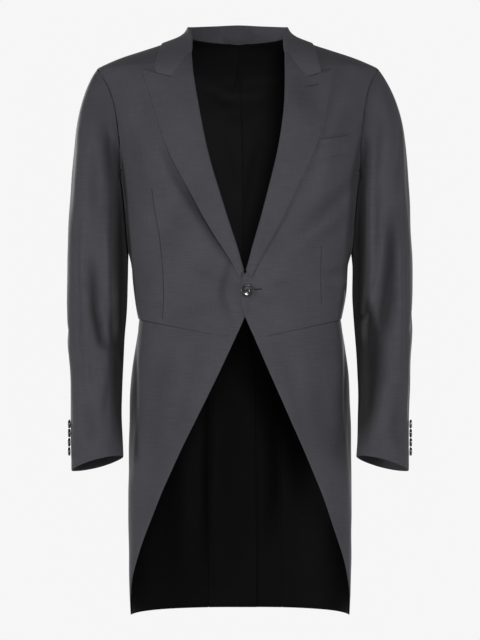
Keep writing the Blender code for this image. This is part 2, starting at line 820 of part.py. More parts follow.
def sleeve_node(node, place):
    # Places round the sleeve turn with the back seam, which ends at the outside of the cuff
    seam = mix(BACK_SLEEVE_SEAM, CUFF_BACK_SEAM, ease((place - 2) / 9))
    if node <= BACK_SLEEVE_SEAM:
        share = (node - FRONT_SLEEVE_SEAM) / (BACK_SLEEVE_SEAM - FRONT_SLEEVE_SEAM)
        return mix(FRONT_SLEEVE_SEAM, seam, share)
    share = (node - BACK_SLEEVE_SEAM) / (FRONT_SLEEVE_SEAM + 360 - BACK_SLEEVE_SEAM)
    return mix(seam, FRONT_SLEEVE_SEAM + 360, share)


def sleeve_part(side, name, nodes):
    points, normals = [], []
    for place in SLEEVE_ROWS:
        row, row_normals = [], []
        for node in nodes:
            turned = sleeve_node(node, place)
            normal = sleeve_normal(side, turned, place)
            dent = fold_depth(side, turned, place)
            row.append(sleeve_point(side, turned, place) - normal * dent)
            row_normals.append(normal)
        points.append(row)
        normals.append(row_normals)
    return cloth_wall(name, *inset(points, normals, bottom=0.01, top=0.01))


def welt(name):
    points, normals = [], []
    for share in (0, 0.5, 1):
        row, row_normals = [], []
        for along in (0, 0.33, 0.67, 1):
            low = (mix(WELT_BOTTOM[0], WELT_BOTTOM[2], along), mix(WELT_BOTTOM[1], WELT_BOTTOM[3], along))
            high = (mix(WELT_TOP[0], WELT_TOP[2], along), mix(WELT_TOP[1], WELT_TOP[3], along))
            distance, height = mix(low[0], high[0], share), mix(low[1], high[1], share)
            turn = front_turn_at(distance, height)
            row.append(body_point(1, turn, height))
            row_normals.append(body_normal(1, turn, height))
        points.append(row)
        normals.append(row_normals)
    return cloth_wall(name, points, normals, thickness=1.6, lift=2.4)


def hanger_loop(name):
    # Strap sewn inside the neck at its ends, sagging between them
    points, normals = [], []
    for step in range(LOOP_ROWS + 1):
        along = step / LOOP_ROWS
        place = mix(*LOOP_ENDS, along)
        side = 1 if place < 0 else -1
        seam = neck_seam(side, 1 - abs(place))
        inward = Vector((-seam.x, -seam.y, 0)).normalized()
        hang = sin(pi * along)
        gap = CLOTH + LINING_GAP + LOOP_BOW * hang
        up = Vector((0, 0, 1)) + inward * LOOP_LEAN
        foot = seam + inward * gap + up * (LOOP_RISE - LOOP_SAG * hang)
        points.append([foot + up * (LOOP_WIDTH * share) for share in (0, 0.5, 1)])
        normals.append([-inward] * 3)
    return cloth_wall(name, points, normals, thickness=LOOP_THICKNESS)


def button(name, place, normal, size, sides=16):
    # A turned disc with a raised rim and a shallow dish
    radius, thick = size[0] / 2, size[1]
    profile = (
        (0.0, 0.0),
        (0.72 * radius, 0.0),
        (radius, 0.35 * thick),
        (radius, 0.75 * thick),
        (0.86 * radius, thick),
        (0.66 * radius, 0.72 * thick),
        (0.0, 0.66 * thick),
    )
    upright = Vector((0, 0, 1))
    right = upright.cross(normal).normalized()
    upright = normal.cross(right).normalized()
    form = bmesh.new()
    rings = []
    for out, rise in profile:
        if out == 0.0:
            rings.append([form.verts.new(leaned(place + normal * rise))])
            continue
        ring = []
        for step in range(sides):
            angle = 2 * pi * step / sides
            spot = place + normal * rise + (right * cos(angle) + upright * sin(angle)) * out
            ring.append(form.verts.new(leaned(spot)))
        rings.append(ring)
    for low, high in zip(rings, rings[1:]):
        for step in range(sides):
            following = (step + 1) % sides
            if len(low) == 1:
                form.faces.new((low[0], high[following], high[step]))
            elif len(high) == 1:
                form.faces.new((low[step], low[following], high[0]))
            else:
                form.faces.new((low[step], low[following], high[following], high[step]))
    bmesh.ops.triangulate(form, faces=form.faces[:])
    bmesh.ops.recalc_face_normals(form, faces=form.faces[:])
    mesh = bpy.data.meshes.new(name)
    form.to_mesh(mesh)
    form.free()
    mesh.shade_smooth()
    mesh.set_sharp_from_angle(angle=radians(35))
    piece = bpy.data.objects.new(name, mesh)
    piece.data.materials.append(material(name, BUTTON_COLOUR, 0.18, coat=0.6))
    bpy.context.collection.objects.link(piece)
    return piece


def buttons():
    across, height = FRONT_BUTTON_PLACE
    turn = front_turn_at(across, height)
    normal = body_normal(1, turn, height)
    spot = body_point(1, turn, height, FRONT_BUTTON_LIFT)
    button("front_button", spot, normal, FRONT_BUTTON, 20)
    for side, word in ((1, "left"), (-1, "right")):
        for number in range(4):
            place = sleeve_place_at(CUFF_BUTTON_LOWEST + CUFF_BUTTON_PITCH * number)
            normal = sleeve_normal(side, 0, place)
            spot = sleeve_point(side, 0, place) + normal * CUFF_BUTTON_LIFT
            button(f"cuff_button_{word}_{number + 1}", spot, normal, CUFF_BUTTON, 12)
        turn = smooth(BACK_SEAM, WAIST_SIDE, 1)
        normal = body_normal(side, turn, WAIST_SIDE)
        spot = body_point(side, turn, WAIST_SIDE, WAIST_BUTTON_LIFT)
        button(f"waist_button_{word}", spot, normal, FRONT_BUTTON, 16)


for existing in list(bpy.data.objects):
    bpy.data.objects.remove(existing, do_unlink=True)

for wearer_side, word in ((1, "left"), (-1, "right")):
    forepart(wearer_side, f"forepart_{word}")
    side_body(wearer_side, f"side_body_{word}")
    back(wearer_side, f"back_{word}")
    skirt(wearer_side, f"skirt_{word}")
    back_lining(wearer_side, f"back_lining_{word}")
    skirt_lining(wearer_side, f"skirt_lining_{word}")
    lapel(wearer_side, f"lapel_{word}")
    sleeve_part(wearer_side, f"top_sleeve_{word}", TOP_SLEEVE_NODES)
    sleeve_part(wearer_side, f"under_sleeve_{word}", UNDER_SLEEVE_NODES)
collar("collar")
welt("breast_welt")
hanger_loop("hanger_loop")
buttons()
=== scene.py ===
import math

import bmesh
import bpy
import numpy as np
from mathutils import Matrix, Vector
from mathutils.bvhtree import BVHTree


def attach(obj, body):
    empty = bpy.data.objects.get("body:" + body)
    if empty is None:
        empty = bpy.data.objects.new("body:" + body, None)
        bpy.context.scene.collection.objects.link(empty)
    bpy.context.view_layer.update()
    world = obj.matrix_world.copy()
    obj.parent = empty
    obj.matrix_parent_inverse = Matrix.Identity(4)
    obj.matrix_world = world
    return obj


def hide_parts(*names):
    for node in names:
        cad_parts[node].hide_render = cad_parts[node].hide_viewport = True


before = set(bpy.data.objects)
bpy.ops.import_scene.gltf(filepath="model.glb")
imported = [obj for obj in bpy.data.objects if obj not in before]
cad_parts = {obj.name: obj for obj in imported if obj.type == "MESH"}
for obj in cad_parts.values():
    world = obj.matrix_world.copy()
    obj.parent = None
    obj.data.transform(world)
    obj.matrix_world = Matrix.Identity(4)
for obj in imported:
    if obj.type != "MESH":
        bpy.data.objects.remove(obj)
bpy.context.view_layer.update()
mm = 0.001  # turns the tables' millimetres to metres
sides = ("left", "right")
bodyPanels = ("forepart", "side_body", "back", "skirt")
sleevePanels = ("top_sleeve", "under_sleeve")


def hexToLinear(code):
    # sRGB hex to the linear colour that the shader wants
    values = [int(code[i:i + 2], 16) / 255 for i in (1, 3, 5)]
    return tuple(v / 12.92 if v <= 0.04045 else ((v + 0.055) / 1.055) ** 2.4 for v in values) + (1.0,)


def addObject(name, data):
    made = bpy.data.objects.new(name, data)
    bpy.context.scene.collection.objects.link(made)
    return made


def choose(*pieces):
    # Select these and nothing else, the first one active
    bpy.ops.object.select_all(action="DESELECT")
    for piece in pieces:
        piece.select_set(True)
    bpy.context.view_layer.objects.active = pieces[0]


def addNode(tree, kind, settings=None, inputs=None):
    # One node with its settings; an input gets a value or another node's output
    node = tree.nodes.new(kind)
    for key, value in (settings or {}).items():
        setattr(node, key, value)
    for key, value in (inputs or {}).items():
        if isinstance(value, bpy.types.NodeSocket):
            tree.links.new(value, node.inputs[key])
        else:
            node.inputs[key].default_value = value
    return node


def newMaterial(name, roughness, sheen=0.0, coat=0.0, ior=1.5, specular=0.5):
    made = bpy.data.materials.new(name)
    made.use_nodes = True
    shader = made.node_tree.nodes["Principled BSDF"]
    shader.inputs["Roughness"].default_value = roughness
    shader.inputs["IOR"].default_value = ior
    shader.inputs["Specular IOR Level"].default_value = specular
    shader.inputs["Sheen Weight"].default_value = sheen
    shader.inputs["Sheen Roughness"].default_value = 0.5
    shader.inputs["Coat Weight"].default_value = coat
    shader.inputs["Coat Roughness"].default_value = 0.1
    return made, made.node_tree, shader


worsted = {
    "dark": "#29292c",          # the darker of the two yarns
    "light": "#414146",         # the lighter one
    "slub": (30.0, 1.2),        # mm across and up: a thick weft yarn
    "warp": (0.9, 36.0),        # mm, streaks of the warp
    "cloud": (85.0, 110.0),     # mm, soft change of tone from pressing and wear
    "warpShare": 0.4,           # of the streaks; slubs make the rest
    "twillPitch": 2.173,        # mm; the real ridge is 0.5 mm, drawn coarser so that it shows
    "twillTurn": 40,            # degrees
    "twillTone": 0.08,          # how much the ridges change the tone
    "cloudTone": 0.22,          # how much the clouds do
    "toneSpan": (0.28, 1.02),   # values that give the dark and the light yarn
    "paintedShadeSpan": (-0.6, 2.0),    # from a ridge, painted palest, to the deepest crease, painted darkest
    "paintedShadeTone": (1.12, 0.1),    # the cloth's painted brightness on these two: painted highlight and painted shade
}
waveBand = math.pi / 10     # a wave node's band at scale 1


def worstedSharkskin():
    # Worsted wool woven in two greys: matt, a faint nap, fine level streaks, a steep twill
    made, tree, shader = newMaterial("worsted_sharkskin", 0.85, sheen=0.04, specular=0.2)
    cut = addNode(tree, "ShaderNodeUVMap", {"uv_map": "cut"}).outputs[0]
    grain = {}
    for name in ("slub", "warp", "cloud"):
        across, up = worsted[name]
        scaled = addNode(tree, "ShaderNodeMapping", inputs={"Vector": cut,
                         "Scale": (1000 / across, 1000 / up, 1.0)})
        grain[name] = addNode(tree, "ShaderNodeTexNoise", inputs={"Vector": scaled.outputs[0],
                              "Scale": 1.0, "Detail": 2.0}).outputs[0]
    pitch = 1000 / worsted["twillPitch"]
    turned = addNode(tree, "ShaderNodeMapping", inputs={"Vector": cut, "Rotation":
                     (0.0, 0.0, math.radians(worsted["twillTurn"])), "Scale": (pitch, pitch, 1.0)})
    twill = addNode(tree, "ShaderNodeTexWave", {"wave_type": "BANDS", "bands_direction": "X"},
                    {"Vector": turned.outputs[0], "Scale": waveBand, "Distortion": 0.8})
    yarns = addNode(tree, "ShaderNodeMix", {"data_type": "FLOAT"}, {"Factor": worsted["warpShare"],
                    "A": grain["slub"], "B": grain["warp"]})
    ribbed = addNode(tree, "ShaderNodeMath", {"operation": "MULTIPLY_ADD"},
                     {0: twill.outputs["Fac"], 1: worsted["twillTone"], 2: yarns.outputs[0]})
    whole = addNode(tree, "ShaderNodeMath", {"operation": "MULTIPLY_ADD"},
                    {0: grain["cloud"], 1: worsted["cloudTone"], 2: ribbed.outputs[0]})
    dark, light = worsted["toneSpan"]
    tone = addNode(tree, "ShaderNodeMapRange", inputs={"Value": whole.outputs[0],
                   "From Min": dark, "From Max": light})
    colour = addNode(tree, "ShaderNodeMix", {"data_type": "RGBA"}, {"Factor": tone.outputs[0],
                     6: hexToLinear(worsted["dark"]), 7: hexToLinear(worsted["light"])})
    # painted shade and highlight: the cloth is painted darker in creases and on the sleeves'
    # turned-in sides, down to a tenth, and paler on ridges and the collar
    paintedShade = addNode(tree, "ShaderNodeAttribute", {"attribute_name": "paintedShade"}).outputs["Fac"]
    (ridge, crease), (pale, deep) = worsted["paintedShadeSpan"], worsted["paintedShadeTone"]
    paintedShadeScale = addNode(tree, "ShaderNodeMapRange", inputs={"Value": paintedShade, "From Min": ridge,
                     "From Max": crease, "To Min": pale, "To Max": deep})
    shaded = addNode(tree, "ShaderNodeVectorMath", {"operation": "SCALE"},
                     {"Vector": colour.outputs[2], "Scale": paintedShadeScale.outputs[0]})
    tree.links.new(shaded.outputs[0], shader.inputs["Base Color"])
    bump = addNode(tree, "ShaderNodeBump", inputs={"Height": ribbed.outputs[0], "Strength": 0.16,
                   "Distance": 0.25 * mm})
    tree.links.new(bump.outputs[0], shader.inputs["Normal"])
    return made


satin = {
    # the tails' darker pair is painted shade, the neck's paler pair painted light
    "tails": ("#030303", "#070708"),
    "neck": ("#0b0b0c", "#141416"),     # painted paler across the upper back: painted light on the one black satin
    "paintedLightFrom": (-0.46, -0.28),       # heights in metres where that painted light sets in and is full
    "grain": (0.8, 22.0),               # mm across and up, the long floats of the weave
    "roughness": (0.5, 0.66),
}


def satinLining():
    # Viscose satin: long floats give a soft gloss, black, with a fine upright grain
    made, tree, shader = newMaterial("viscose_satin_lining", 0.58, specular=0.03)
    cut = addNode(tree, "ShaderNodeUVMap", {"uv_map": "cut"}).outputs[0]
    across, up = satin["grain"]
    scaled = addNode(tree, "ShaderNodeMapping", inputs={"Vector": cut,
                     "Scale": (1000 / across, 1000 / up, 1.0)})
    floats = addNode(tree, "ShaderNodeTexNoise", inputs={"Vector": scaled.outputs[0],
                     "Scale": 1.0, "Detail": 2.0}).outputs[0]
    tails, neck = [addNode(tree, "ShaderNodeMix", {"data_type": "RGBA"}, {"Factor": floats,
                           6: hexToLinear(satin[part][0]), 7: hexToLinear(satin[part][1])})
                   for part in ("tails", "neck")]
    height = addNode(tree, "ShaderNodeSeparateXYZ", inputs={"Vector": cut}).outputs["Y"]
    low, high = satin["paintedLightFrom"]
    paintedLightShare = addNode(tree, "ShaderNodeMapRange", inputs={"Value": height, "From Min": low,
                   "From Max": high})
    colour = addNode(tree, "ShaderNodeMix", {"data_type": "RGBA"}, {"Factor": paintedLightShare.outputs[0],
                     6: tails.outputs[2], 7: neck.outputs[2]})
    tree.links.new(colour.outputs[2], shader.inputs["Base Color"])
    smooth, dull = satin["roughness"]
    gloss = addNode(tree, "ShaderNodeMapRange", inputs={"Value": floats, "To Min": smooth,
                    "To Max": dull})
    tree.links.new(gloss.outputs[0], shader.inputs["Roughness"])
    bump = addNode(tree, "ShaderNodeBump", inputs={"Height": floats, "Strength": 0.08,
                   "Distance": 0.1 * mm})
    tree.links.new(bump.outputs[0], shader.inputs["Normal"])
    return made


def castResin():
    # Cast polyester resin, tumbled and polished: black and glossy, with handling marks
    made, tree, shader = newMaterial("cast_resin_button", 0.16, coat=0.4, ior=1.56)
    place = addNode(tree, "ShaderNodeTexCoord").outputs["Object"]
    # clouds of the cast, 4 mm across
    clouds = addNode(tree, "ShaderNodeTexNoise", inputs={"Vector": place, "Scale": 260.0,
                     "Detail": 3.0}).outputs[0]
    colour = addNode(tree, "ShaderNodeMix", {"data_type": "RGBA"}, {"Factor": clouds,
                     6: hexToLinear("#09090b"), 7: hexToLinear("#1d1d21")})
    tree.links.new(colour.outputs[2], shader.inputs["Base Color"])
    marks = addNode(tree, "ShaderNodeMapRange", inputs={"Value": clouds, "To Min": 0.14,
                    "To Max": 0.28})
    tree.links.new(marks.outputs[0], shader.inputs["Roughness"])
    return made


def silkTwist(name, dark, light):
    # Twisted silk sewing thread: a soft shine, with the twist as fine slanted ribs
    made, tree, shader = newMaterial(name, 0.7, specular=0.12)
    place = addNode(tree, "ShaderNodeTexCoord").outputs["Object"]
    # a rib each 0.4 mm
    twist = addNode(tree, "ShaderNodeTexWave", {"bands_direction": "DIAGONAL"},
                    {"Vector": place, "Scale": 900.0, "Distortion": 1.0}).outputs["Fac"]
    colour = addNode(tree, "ShaderNodeMix", {"data_type": "RGBA"}, {"Factor": twist,
                     6: hexToLinear(dark), 7: hexToLinear(light)})
    tree.links.new(colour.outputs[2], shader.inputs["Base Color"])
    return made


suiting = worstedSharkskin()
lining = satinLining()
resin = castResin()
twistThread = silkTwist("silk_twist_black", "#0d0d0f", "#222226")
greyThread = silkTwist("silk_twist_grey", "#1d1d20", "#3c3c41")
print("materials made")

# The worn form: the body's middle line is upright, a sleeve's bends with the elbow
sleeveAxis = np.array((
    # height, sideways, front to back
    (-720, 231, -58), (-670, 233, -51), (-615, 235, -40), (-550, 236, -25), (-485, 236, -14),
    (-430, 235, -5), (-340, 236, 0), (-250, 235, 1), (-150, 228, 2), (-60, 215, 2),
)) * mm
bodyRadii = (0.185, 0.112)  # m, sideways and front to back, of the chest's oval
bodyMiddle = 0.004          # m, its middle line stands a little to the left


def awayFromAxis(points, group):
    # Level way from the middle of the form to each point
    away = np.zeros_like(points)
    if group == "sleeve":
        side = np.sign(points[:, 0])
        middle = side * np.interp(points[:, 2], sleeveAxis[:, 0], sleeveAxis[:, 1])
        away[:, 0] = points[:, 0] - middle
        away[:, 1] = points[:, 1] - np.interp(points[:, 2], sleeveAxis[:, 0], sleeveAxis[:, 2])
    else:
        away[:, 0] = points[:, 0] - bodyMiddle
        away[:, 1] = points[:, 1]
    return away


def outwardAt(points, group):
    # Level way out of the form, of length 1
    away = awayFromAxis(points, group)
    if group == "body":
        away[:, 0] /= bodyRadii[0] ** 2
        away[:, 1] /= bodyRadii[1] ** 2
    return away / np.maximum(np.linalg.norm(away, axis=1), 1e-9)[:, None]


def formTree(names):
    # Surface of some CAD nodes, to find places on
    form = bmesh.new()
    for name in names:
        form.from_mesh(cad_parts[name].data)
    tree = BVHTree.FromBMesh(form)
    form.free()
    return tree


bodyForm = formTree([f"{part}_{side}" for side in sides for part in bodyPanels])
sleeveForm = formTree([f"{part}_{side}" for side in sides for part in sleevePanels])
liningForm = formTree([f"{part}_lining_{side}" for side in sides for part in ("back", "skirt")])
facings = {
    # the way that one looks, and the axis that runs across the view
    "front": (Vector((0, 1, 0)), 0), "back": (Vector((0, -1, 0)), 0),
    "left": (Vector((-1, 0, 0)), 1), "right": (Vector((1, 0, 0)), 1),
}


def placeOn(tree, facing, across, height):
    # Point of the form that shows from one side, and its normal; the ray starts 1 m away
    look, axis = facings[facing]
    start = Vector((0, 0, height * mm)) - look
    start[axis] += across * mm
    hit, normal = tree.ray_cast(start, look)[:2]
    if hit is None:
        return start + look, -look
    return hit, normal if normal.dot(look) < 0 else -normal


# Creases, each as it shows from one side: its places (across, height), then its width
# and its depth. A minus depth stands out.
# on the suiting every crease also carries painted shade: a deeper one is painted darker, one that
# stands out paler
bodyCreases = (
    # drape from the chest to the button, and below the armholes
    ("front", ((184, -236), (146, -285), (94, -334)), 15, 4.2),
    ("front", ((102, -340), (148, -302), (184, -256)), 12, -2.4),
    ("front", ((174, -296), (134, -338), (92, -370)), 13, 2.6),
    ("front", ((121, -282), (133, -240), (142, -206)), 13, -2.0),
    ("front", ((-186, -150), (-170, -200), (-160, -262)), 18, 1.8),
    ("front", ((178, -118), (170, -160), (154, -196)), 15, 1.8),
    ("front", ((-164, -96), (-150, -120), (-146, -150)), 14, 1.4),
    ("front", ((162, -92), (152, -116), (146, -140)), 14, 1.4),
    # pull at the waist and short drags at the dart ends
    ("front", ((128, -397), (148, -391), (174, -382)), 6, 2.2),
    ("front", ((148, -411), (164, -406), (176, -399)), 7, -1.8),
    ("front", ((-156, -441), (-140, -444), (-122, -446)), 5, 1.4),
    ("front", ((34, -417), (62, -411), (94, -407)), 5, 1.4),
    ("front", ((20, -427), (42, -436), (64, -441)), 7, 1.5),
    ("front", ((-12, -416), (-46, -398), (-86, -380)), 10, 1.8),
    ("front", ((-16, -444), (-60, -452), (-112, -462)), 11, 1.6),
    ("front", ((-66, -250), (-94, -305), (-118, -356)), 17, 1.6),
    ("front", ((22, -436), (14, -448), (6, -462)), 7, 1.6),
    # the hips stand out behind the skirts
    ("left", ((22, -476), (26, -506), (24, -548)), 13, -5.0),
    ("right", ((22, -478), (26, -508), (24, -552)), 13, -4.6),
    # the side draws in over the waist
    ("front", ((184, -280), (181, -350), (174, -430)), 6, 4.0),
    # the chest hollows softly under the left peak, and its painted shade darkens that patch
    ("front", ((92, -70), (104, -110), (128, -156)), 24, 4.2),
    # skirts
    ("front", ((-118, -520), (-136, -640), (-142, -780)), 22, 2.6),
    ("front", ((116, -510), (134, -650), (140, -800)), 20, 2.8),
    ("front", ((60, -500), (88, -590), (112, -690)), 14, 1.7),
    ("front", ((-60, -505), (-90, -600), (-116, -700)), 15, 1.9),
    ("front", ((-170, -480), (-173, -560), (-171, -640)), 8, 2.2),
    ("front", ((172, -480), (176, -570), (174, -660)), 8, 2.2),
    # the back
    ("back", ((120, -120), (66, -190), (34, -300)), 22, 3.0),
    ("back", ((-112, -130), (-64, -210), (-26, -310)), 20, 2.7),
    ("back", ((140, -230), (96, -330), (70, -430)), 15, 2.6),
    ("back", ((-146, -240), (-104, -320), (-72, -440)), 14, 2.4),
    ("back", ((60, -60), (20, -74), (-20, -70)), 9, 1.2),
    ("back", ((118, -500), (128, -640), (120, -850)), 20, 4.0),
    ("back", ((-124, -500), (-134, -680), (-128, -870)), 22, 3.8),
    ("back", ((60, -540), (70, -700), (66, -880)), 15, 2.6),
    ("back", ((-64, -560), (-70, -730), (-78, -900)), 16, 2.9),
    ("back", ((30, -560), (38, -720), (36, -900)), 16, -2.2),
    ("back", ((-36, -540), (-44, -700), (-46, -860)), 17, -2.0),
    # the sides
    ("left", ((20, -320), (-10, -390), (-40, -440)), 12, 2.6),
    ("right", ((26, -300), (-6, -380), (-36, -436)), 13, 2.4),
    ("left", ((34, -520), (44, -660), (36, -860)), 18, 3.6),
    ("right", ((30, -520), (40, -640), (42, -880)), 17, 3.4),
    ("left", ((-26, -520), (-30, -640), (-24, -760)), 16, 2.4),
    ("right", ((-30, -510), (-34, -620), (-30, -740)), 15, 2.2),
)
sleeveCreases = (
    # the wearer's left: two ridges that meet at the elbow, beside a long broad trough
    ("front", ((215, -184), (212, -320), (214, -389), (202, -452)), 5.5, -4.2),
    ("front", ((221, -236), (222, -300), (220, -366)), 4, 3.4),
    ("front", ((233, -330), (224, -400), (204, -456)), 5, -4.2),
    ("front", ((250, -300), (246, -372), (241, -428), (230, -475), (212, -530)), 14, 13.0),
    ("front", ((188, -462), (203, -466), (214, -446)), 4.5, 5.0),
    ("front", ((263, -150), (262, -190), (257, -250)), 7, 3.6),
    ("front", ((265, -243), (271, -372), (270, -560)), 3, 2.6),
    ("front", ((258, -320), (261, -440), (258, -560)), 7, -4.0),
    ("front", ((226, -150), (222, -196), (219, -240)), 7, 3.2),
    ("front", ((254, -600), (250, -650), (246, -700)), 11, 3.0),
    # the wearer's right: one long curved fold, the rest nearly smooth
    ("front", ((-255, -318), (-256, -380), (-254, -440)), 6, -4.0),
    ("front", ((-240, -366), (-235, -454), (-223, -503), (-196, -527)), 8.5, 10.0),
    ("front", ((-216, -320), (-214, -400), (-212, -450)), 6, -4.2),
    ("front", ((-249, -486), (-248, -535), (-244, -590)), 6, -4.6),
    ("front", ((-262, -300), (-262, -400), (-260, -520)), 4, 3.0),
    ("front", ((-206, -540), (-210, -580), (-218, -620)), 8, 3.6),
    ("front", ((-214, -160), (-210, -200), (-206, -250)), 7, 3.0),
    ("front", ((-236, -190), (-238, -250), (-236, -310)), 10, 3.4),
    ("front", ((-246, -600), (-240, -650), (-234, -700)), 11, 3.0),
    # seen from the sides and the back
    ("left", ((30, -330), (34, -420), (4, -500)), 12, 4.6),
    ("left", ((58, -200), (50, -300), (36, -380)), 12, 3.2),
    ("left", ((-2, -440), (-20, -470), (-44, -490)), 8, 3.0),
    ("left", ((-30, -520), (-46, -590), (-58, -640)), 10, 2.4),
    ("left", ((-26, -160), (-34, -230), (-30, -310)), 13, 2.2),
    ("right", ((32, -340), (28, -430), (2, -510)), 12, 4.4),
    ("right", ((56, -210), (48, -300), (40, -390)), 12, 3.0),
    ("right", ((0, -450), (-18, -482), (-40, -500)), 8, 3.0),
    ("right", ((-26, -530), (-44, -600), (-60, -650)), 10, 2.4),
    ("right", ((-20, -150), (-30, -220), (-34, -300)), 13, 2.0),
    ("back", ((238, -330), (228, -420), (210, -480)), 10, 4.6),
    ("back", ((256, -200), (250, -300), (238, -400)), 12, 3.4),
    ("back", ((-232, -340), (-224, -420), (-208, -490)), 10, 4.2),
    ("back", ((-254, -210), (-250, -300), (-238, -410)), 12, 3.2),
)
liningCreases = (
    # the pleat down from the hanging loop, soft diagonals, and the fall of the tails
    ("front", ((-3, -24), (-10, -60), (-19, -105)), 3.5, 2.6),
    ("front", ((4, -30), (-3, -66), (-12, -110)), 4, -1.6),
    ("front", ((-58, -76), (-22, -98), (34, -92)), 8, 2.4),
    ("front", ((62, -64), (24, -104), (-20, -126)), 9, 2.6),
    ("front", ((-52, -130), (-26, -190), (-8, -260)), 10, 2.4),
    ("front", ((48, -120), (30, -200), (12, -290)), 10, 2.6),
    ("front", ((-62, -620), (-68, -740), (-60, -900)), 12, 2.2),
    ("front", ((62, -610), (72, -760), (68, -900)), 12, 2.0),
)
# The lower front dips under the edge of the lapel that stands off it, and beside the overlap; the
# dips carry painted shade
lapelDips = (
    ("front", ((-123, -192), (-104, -238), (-74, -286), (-41, -335), (-10, -378)), 7, 7.0),
    ("front", ((-10, -372), (-25, -404), (-29, -436), (-14, -470)), 6, 3.5),
)


def creaseLines(rows, tree):
    # Each crease as points on the form, with its width and depth in metres
    return [([np.array(placeOn(tree, facing, *spot)[0]) for spot in spots], width * mm, depth * mm)
            for facing, spots, width, depth in rows]


creases = {
    "body": creaseLines(bodyCreases, bodyForm),
    "sleeve": creaseLines(sleeveCreases, sleeveForm),
    "lining": creaseLines(liningCreases, liningForm),
    "dips": creaseLines(lapelDips, bodyForm),
}
creaseEnd = 0.04    # share of the fade that a crease lacks at each end
fadeCurve = 0.7     # under 1, a crease keeps its depth for longer
ripples = (
    # direction of a slow wave through the cloth, its length and its height
    ((0.9, 0.2, 0.5), 61, 0.16), ((-0.5, 0.3, 0.8), 83, 0.20), ((0.2, 0.9, -0.4), 47, 0.12),
    ((0.7, -0.4, -0.6), 112, 0.24), ((0.1, 0.2, 1.0), 71, 0.14),
)


def foldDepths(points, lines):
    # How far the cloth goes in at each point
    depth = np.zeros(len(points))
    for line, width, deep in lines:
        away = np.full(len(points), 1e9)
        place = np.zeros(len(points))
        run = 0.0
        for start, stop in zip(line, line[1:]):
            step = stop - start
            length = max(np.linalg.norm(step), 1e-9)
            t = np.clip(((points - start) @ step) / length ** 2, 0, 1)
            far = np.linalg.norm(points - start - t[:, None] * step, axis=1)
            nearer = far < away
            away[nearer] = far[nearer]
            place[nearer] = run + (t * length)[nearer]
            run += length
        share = creaseEnd + (1 - 2 * creaseEnd) * place / run
        fade = np.sin(math.pi * share) ** fadeCurve
        depth += deep * fade * np.exp(-((away / width) ** 2))
    for way, length, height in ripples:
        turn = points @ np.array(way) / np.linalg.norm(way)
        depth += height * mm * np.sin(2 * math.pi * turn / (length * mm) + length)
    return depth


def readVectors(items, name):
    values = np.empty(len(items) * 3)
    items.foreach_get(name, values)
    return values.reshape(-1, 3)


def smoothStep(values, low, high):
    t = np.clip((values - low) / (high - low), 0, 1)
    return t * t * (3 - 2 * t)


def ramp(points, axis, span):
    # 0 to 1 along one axis, over a span in millimetres
    return smoothStep(points[:, axis], span[0] * mm, span[1] * mm)


innerTurn = {
    # height, and how far in from the sleeve's middle the painted shade of its inner side starts
    "right": ((-680, 26), (-480, 18), (-430, 28), (-160, 28)),
    "left": ((-680, 20), (-600, 4), (-560, -6), (-490, -8), (-430, 24), (-160, 29)),
    "bottom": (-700, -600),     # heights, from nothing to the full turn
    "top": (-200, -160),
    "front": (-4, 14),          # mm in front of the middle line
    "darkest": 50,              # mm in from the middle line, where that painted shade is darkest
    "bend": (24, 40),           # mm in from the middle line, where the cloth itself goes back
    "goesBack": 24,
    # how dark the painted shade gets there, and how it grows
    "tone": 3.6,
    "shadeCurve": 0.6,
}


def turnInnerBack(points, free):
    # A sleeve's side next to the body folds back into its own shadow; returns the painted shade that
    # darkens that side
    away = awayFromAxis(points, "sleeve")
    inward = -np.sign(points[:, 0]) * away[:, 0]
    rows = np.array(innerTurn["left" if points[:, 0].mean() > 0 else "right"]) * mm
    start = np.interp(points[:, 2], rows[:, 0], rows[:, 1])
    where = (ramp(-away, 1, innerTurn["front"]) * ramp(points, 2, innerTurn["bottom"])
             * (1 - ramp(points, 2, innerTurn["top"])))
    turned = smoothStep(inward, start, innerTurn["darkest"] * mm)
    bent = ramp(inward[:, None], 0, innerTurn["bend"])
    points[:, 1] += innerTurn["goesBack"] * mm * bent * where * free
    return innerTurn["tone"] * turned ** innerTurn["shadeCurve"] * where


armhole = {
    "foot": (-250, -235),   # heights between the open underarm and the sewn seam
    "held": (1.2, 13.0),    # mm from the seam, where the cloth is held and where it is free
    "press": (-385, -350),  # heights between which body and sleeve hang against each other
    "pressEnd": (-150, -125),
    "facing": 0.8,          # how squarely the cloth faces the arm there
    "reach": 6.0,           # mm of slit that is closed
    "shy": 0.1,             # mm that the cloths stay apart below the foot
    "lap": 0.12,            # mm that they meet in above it
}


def freeOfArmhole(points, other):
    # 0 at the armhole seam, where body and sleeve have to stay together, 1 away from it
    held, loose = armhole["held"]
    free = np.ones(len(points))
    for i in np.flatnonzero(points[:, 2] > armhole["foot"][0] * mm):
        apart = other.find_nearest(Vector(points[i]), loose * mm)[3]
        if apart is not None:
            free[i] = smoothStep(apart, held * mm, loose * mm)
    return 1 - (1 - free) * ramp(points, 2, armhole["foot"])


def pressTogether(points, outward, other):
    # Where body and sleeve hang against each other they close the slit between them
    rise = np.zeros(len(points))
    shy, lap = armhole["shy"], armhole["lap"]
    over = ((shy + lap) * ramp(points, 2, armhole["foot"]) - shy) * mm
    height = ramp(points, 2, armhole["press"]) * (1 - ramp(points, 2, armhole["pressEnd"]))
    for i in np.flatnonzero((height > 0) & (np.abs(outward[:, 0]) > armhole["facing"])):
        reach = other.ray_cast(Vector(points[i]), Vector(outward[i]), armhole["reach"] * mm)[3]
        if reach is not None:
            rise[i] = max(reach / 2 + over[i], 0) * height[i]
    return rise


cutLay = {
    "bodyRadius": 0.15,         # m, turns the way round the form to cloth
    "sleeveRadius": 0.045,
    "shoulder": (-150, -70),    # heights where the cloth starts to run over the shoulder
    "shoulderDepth": 0.1,       # m, front to back
    "shoulderShare": 0.8,
}


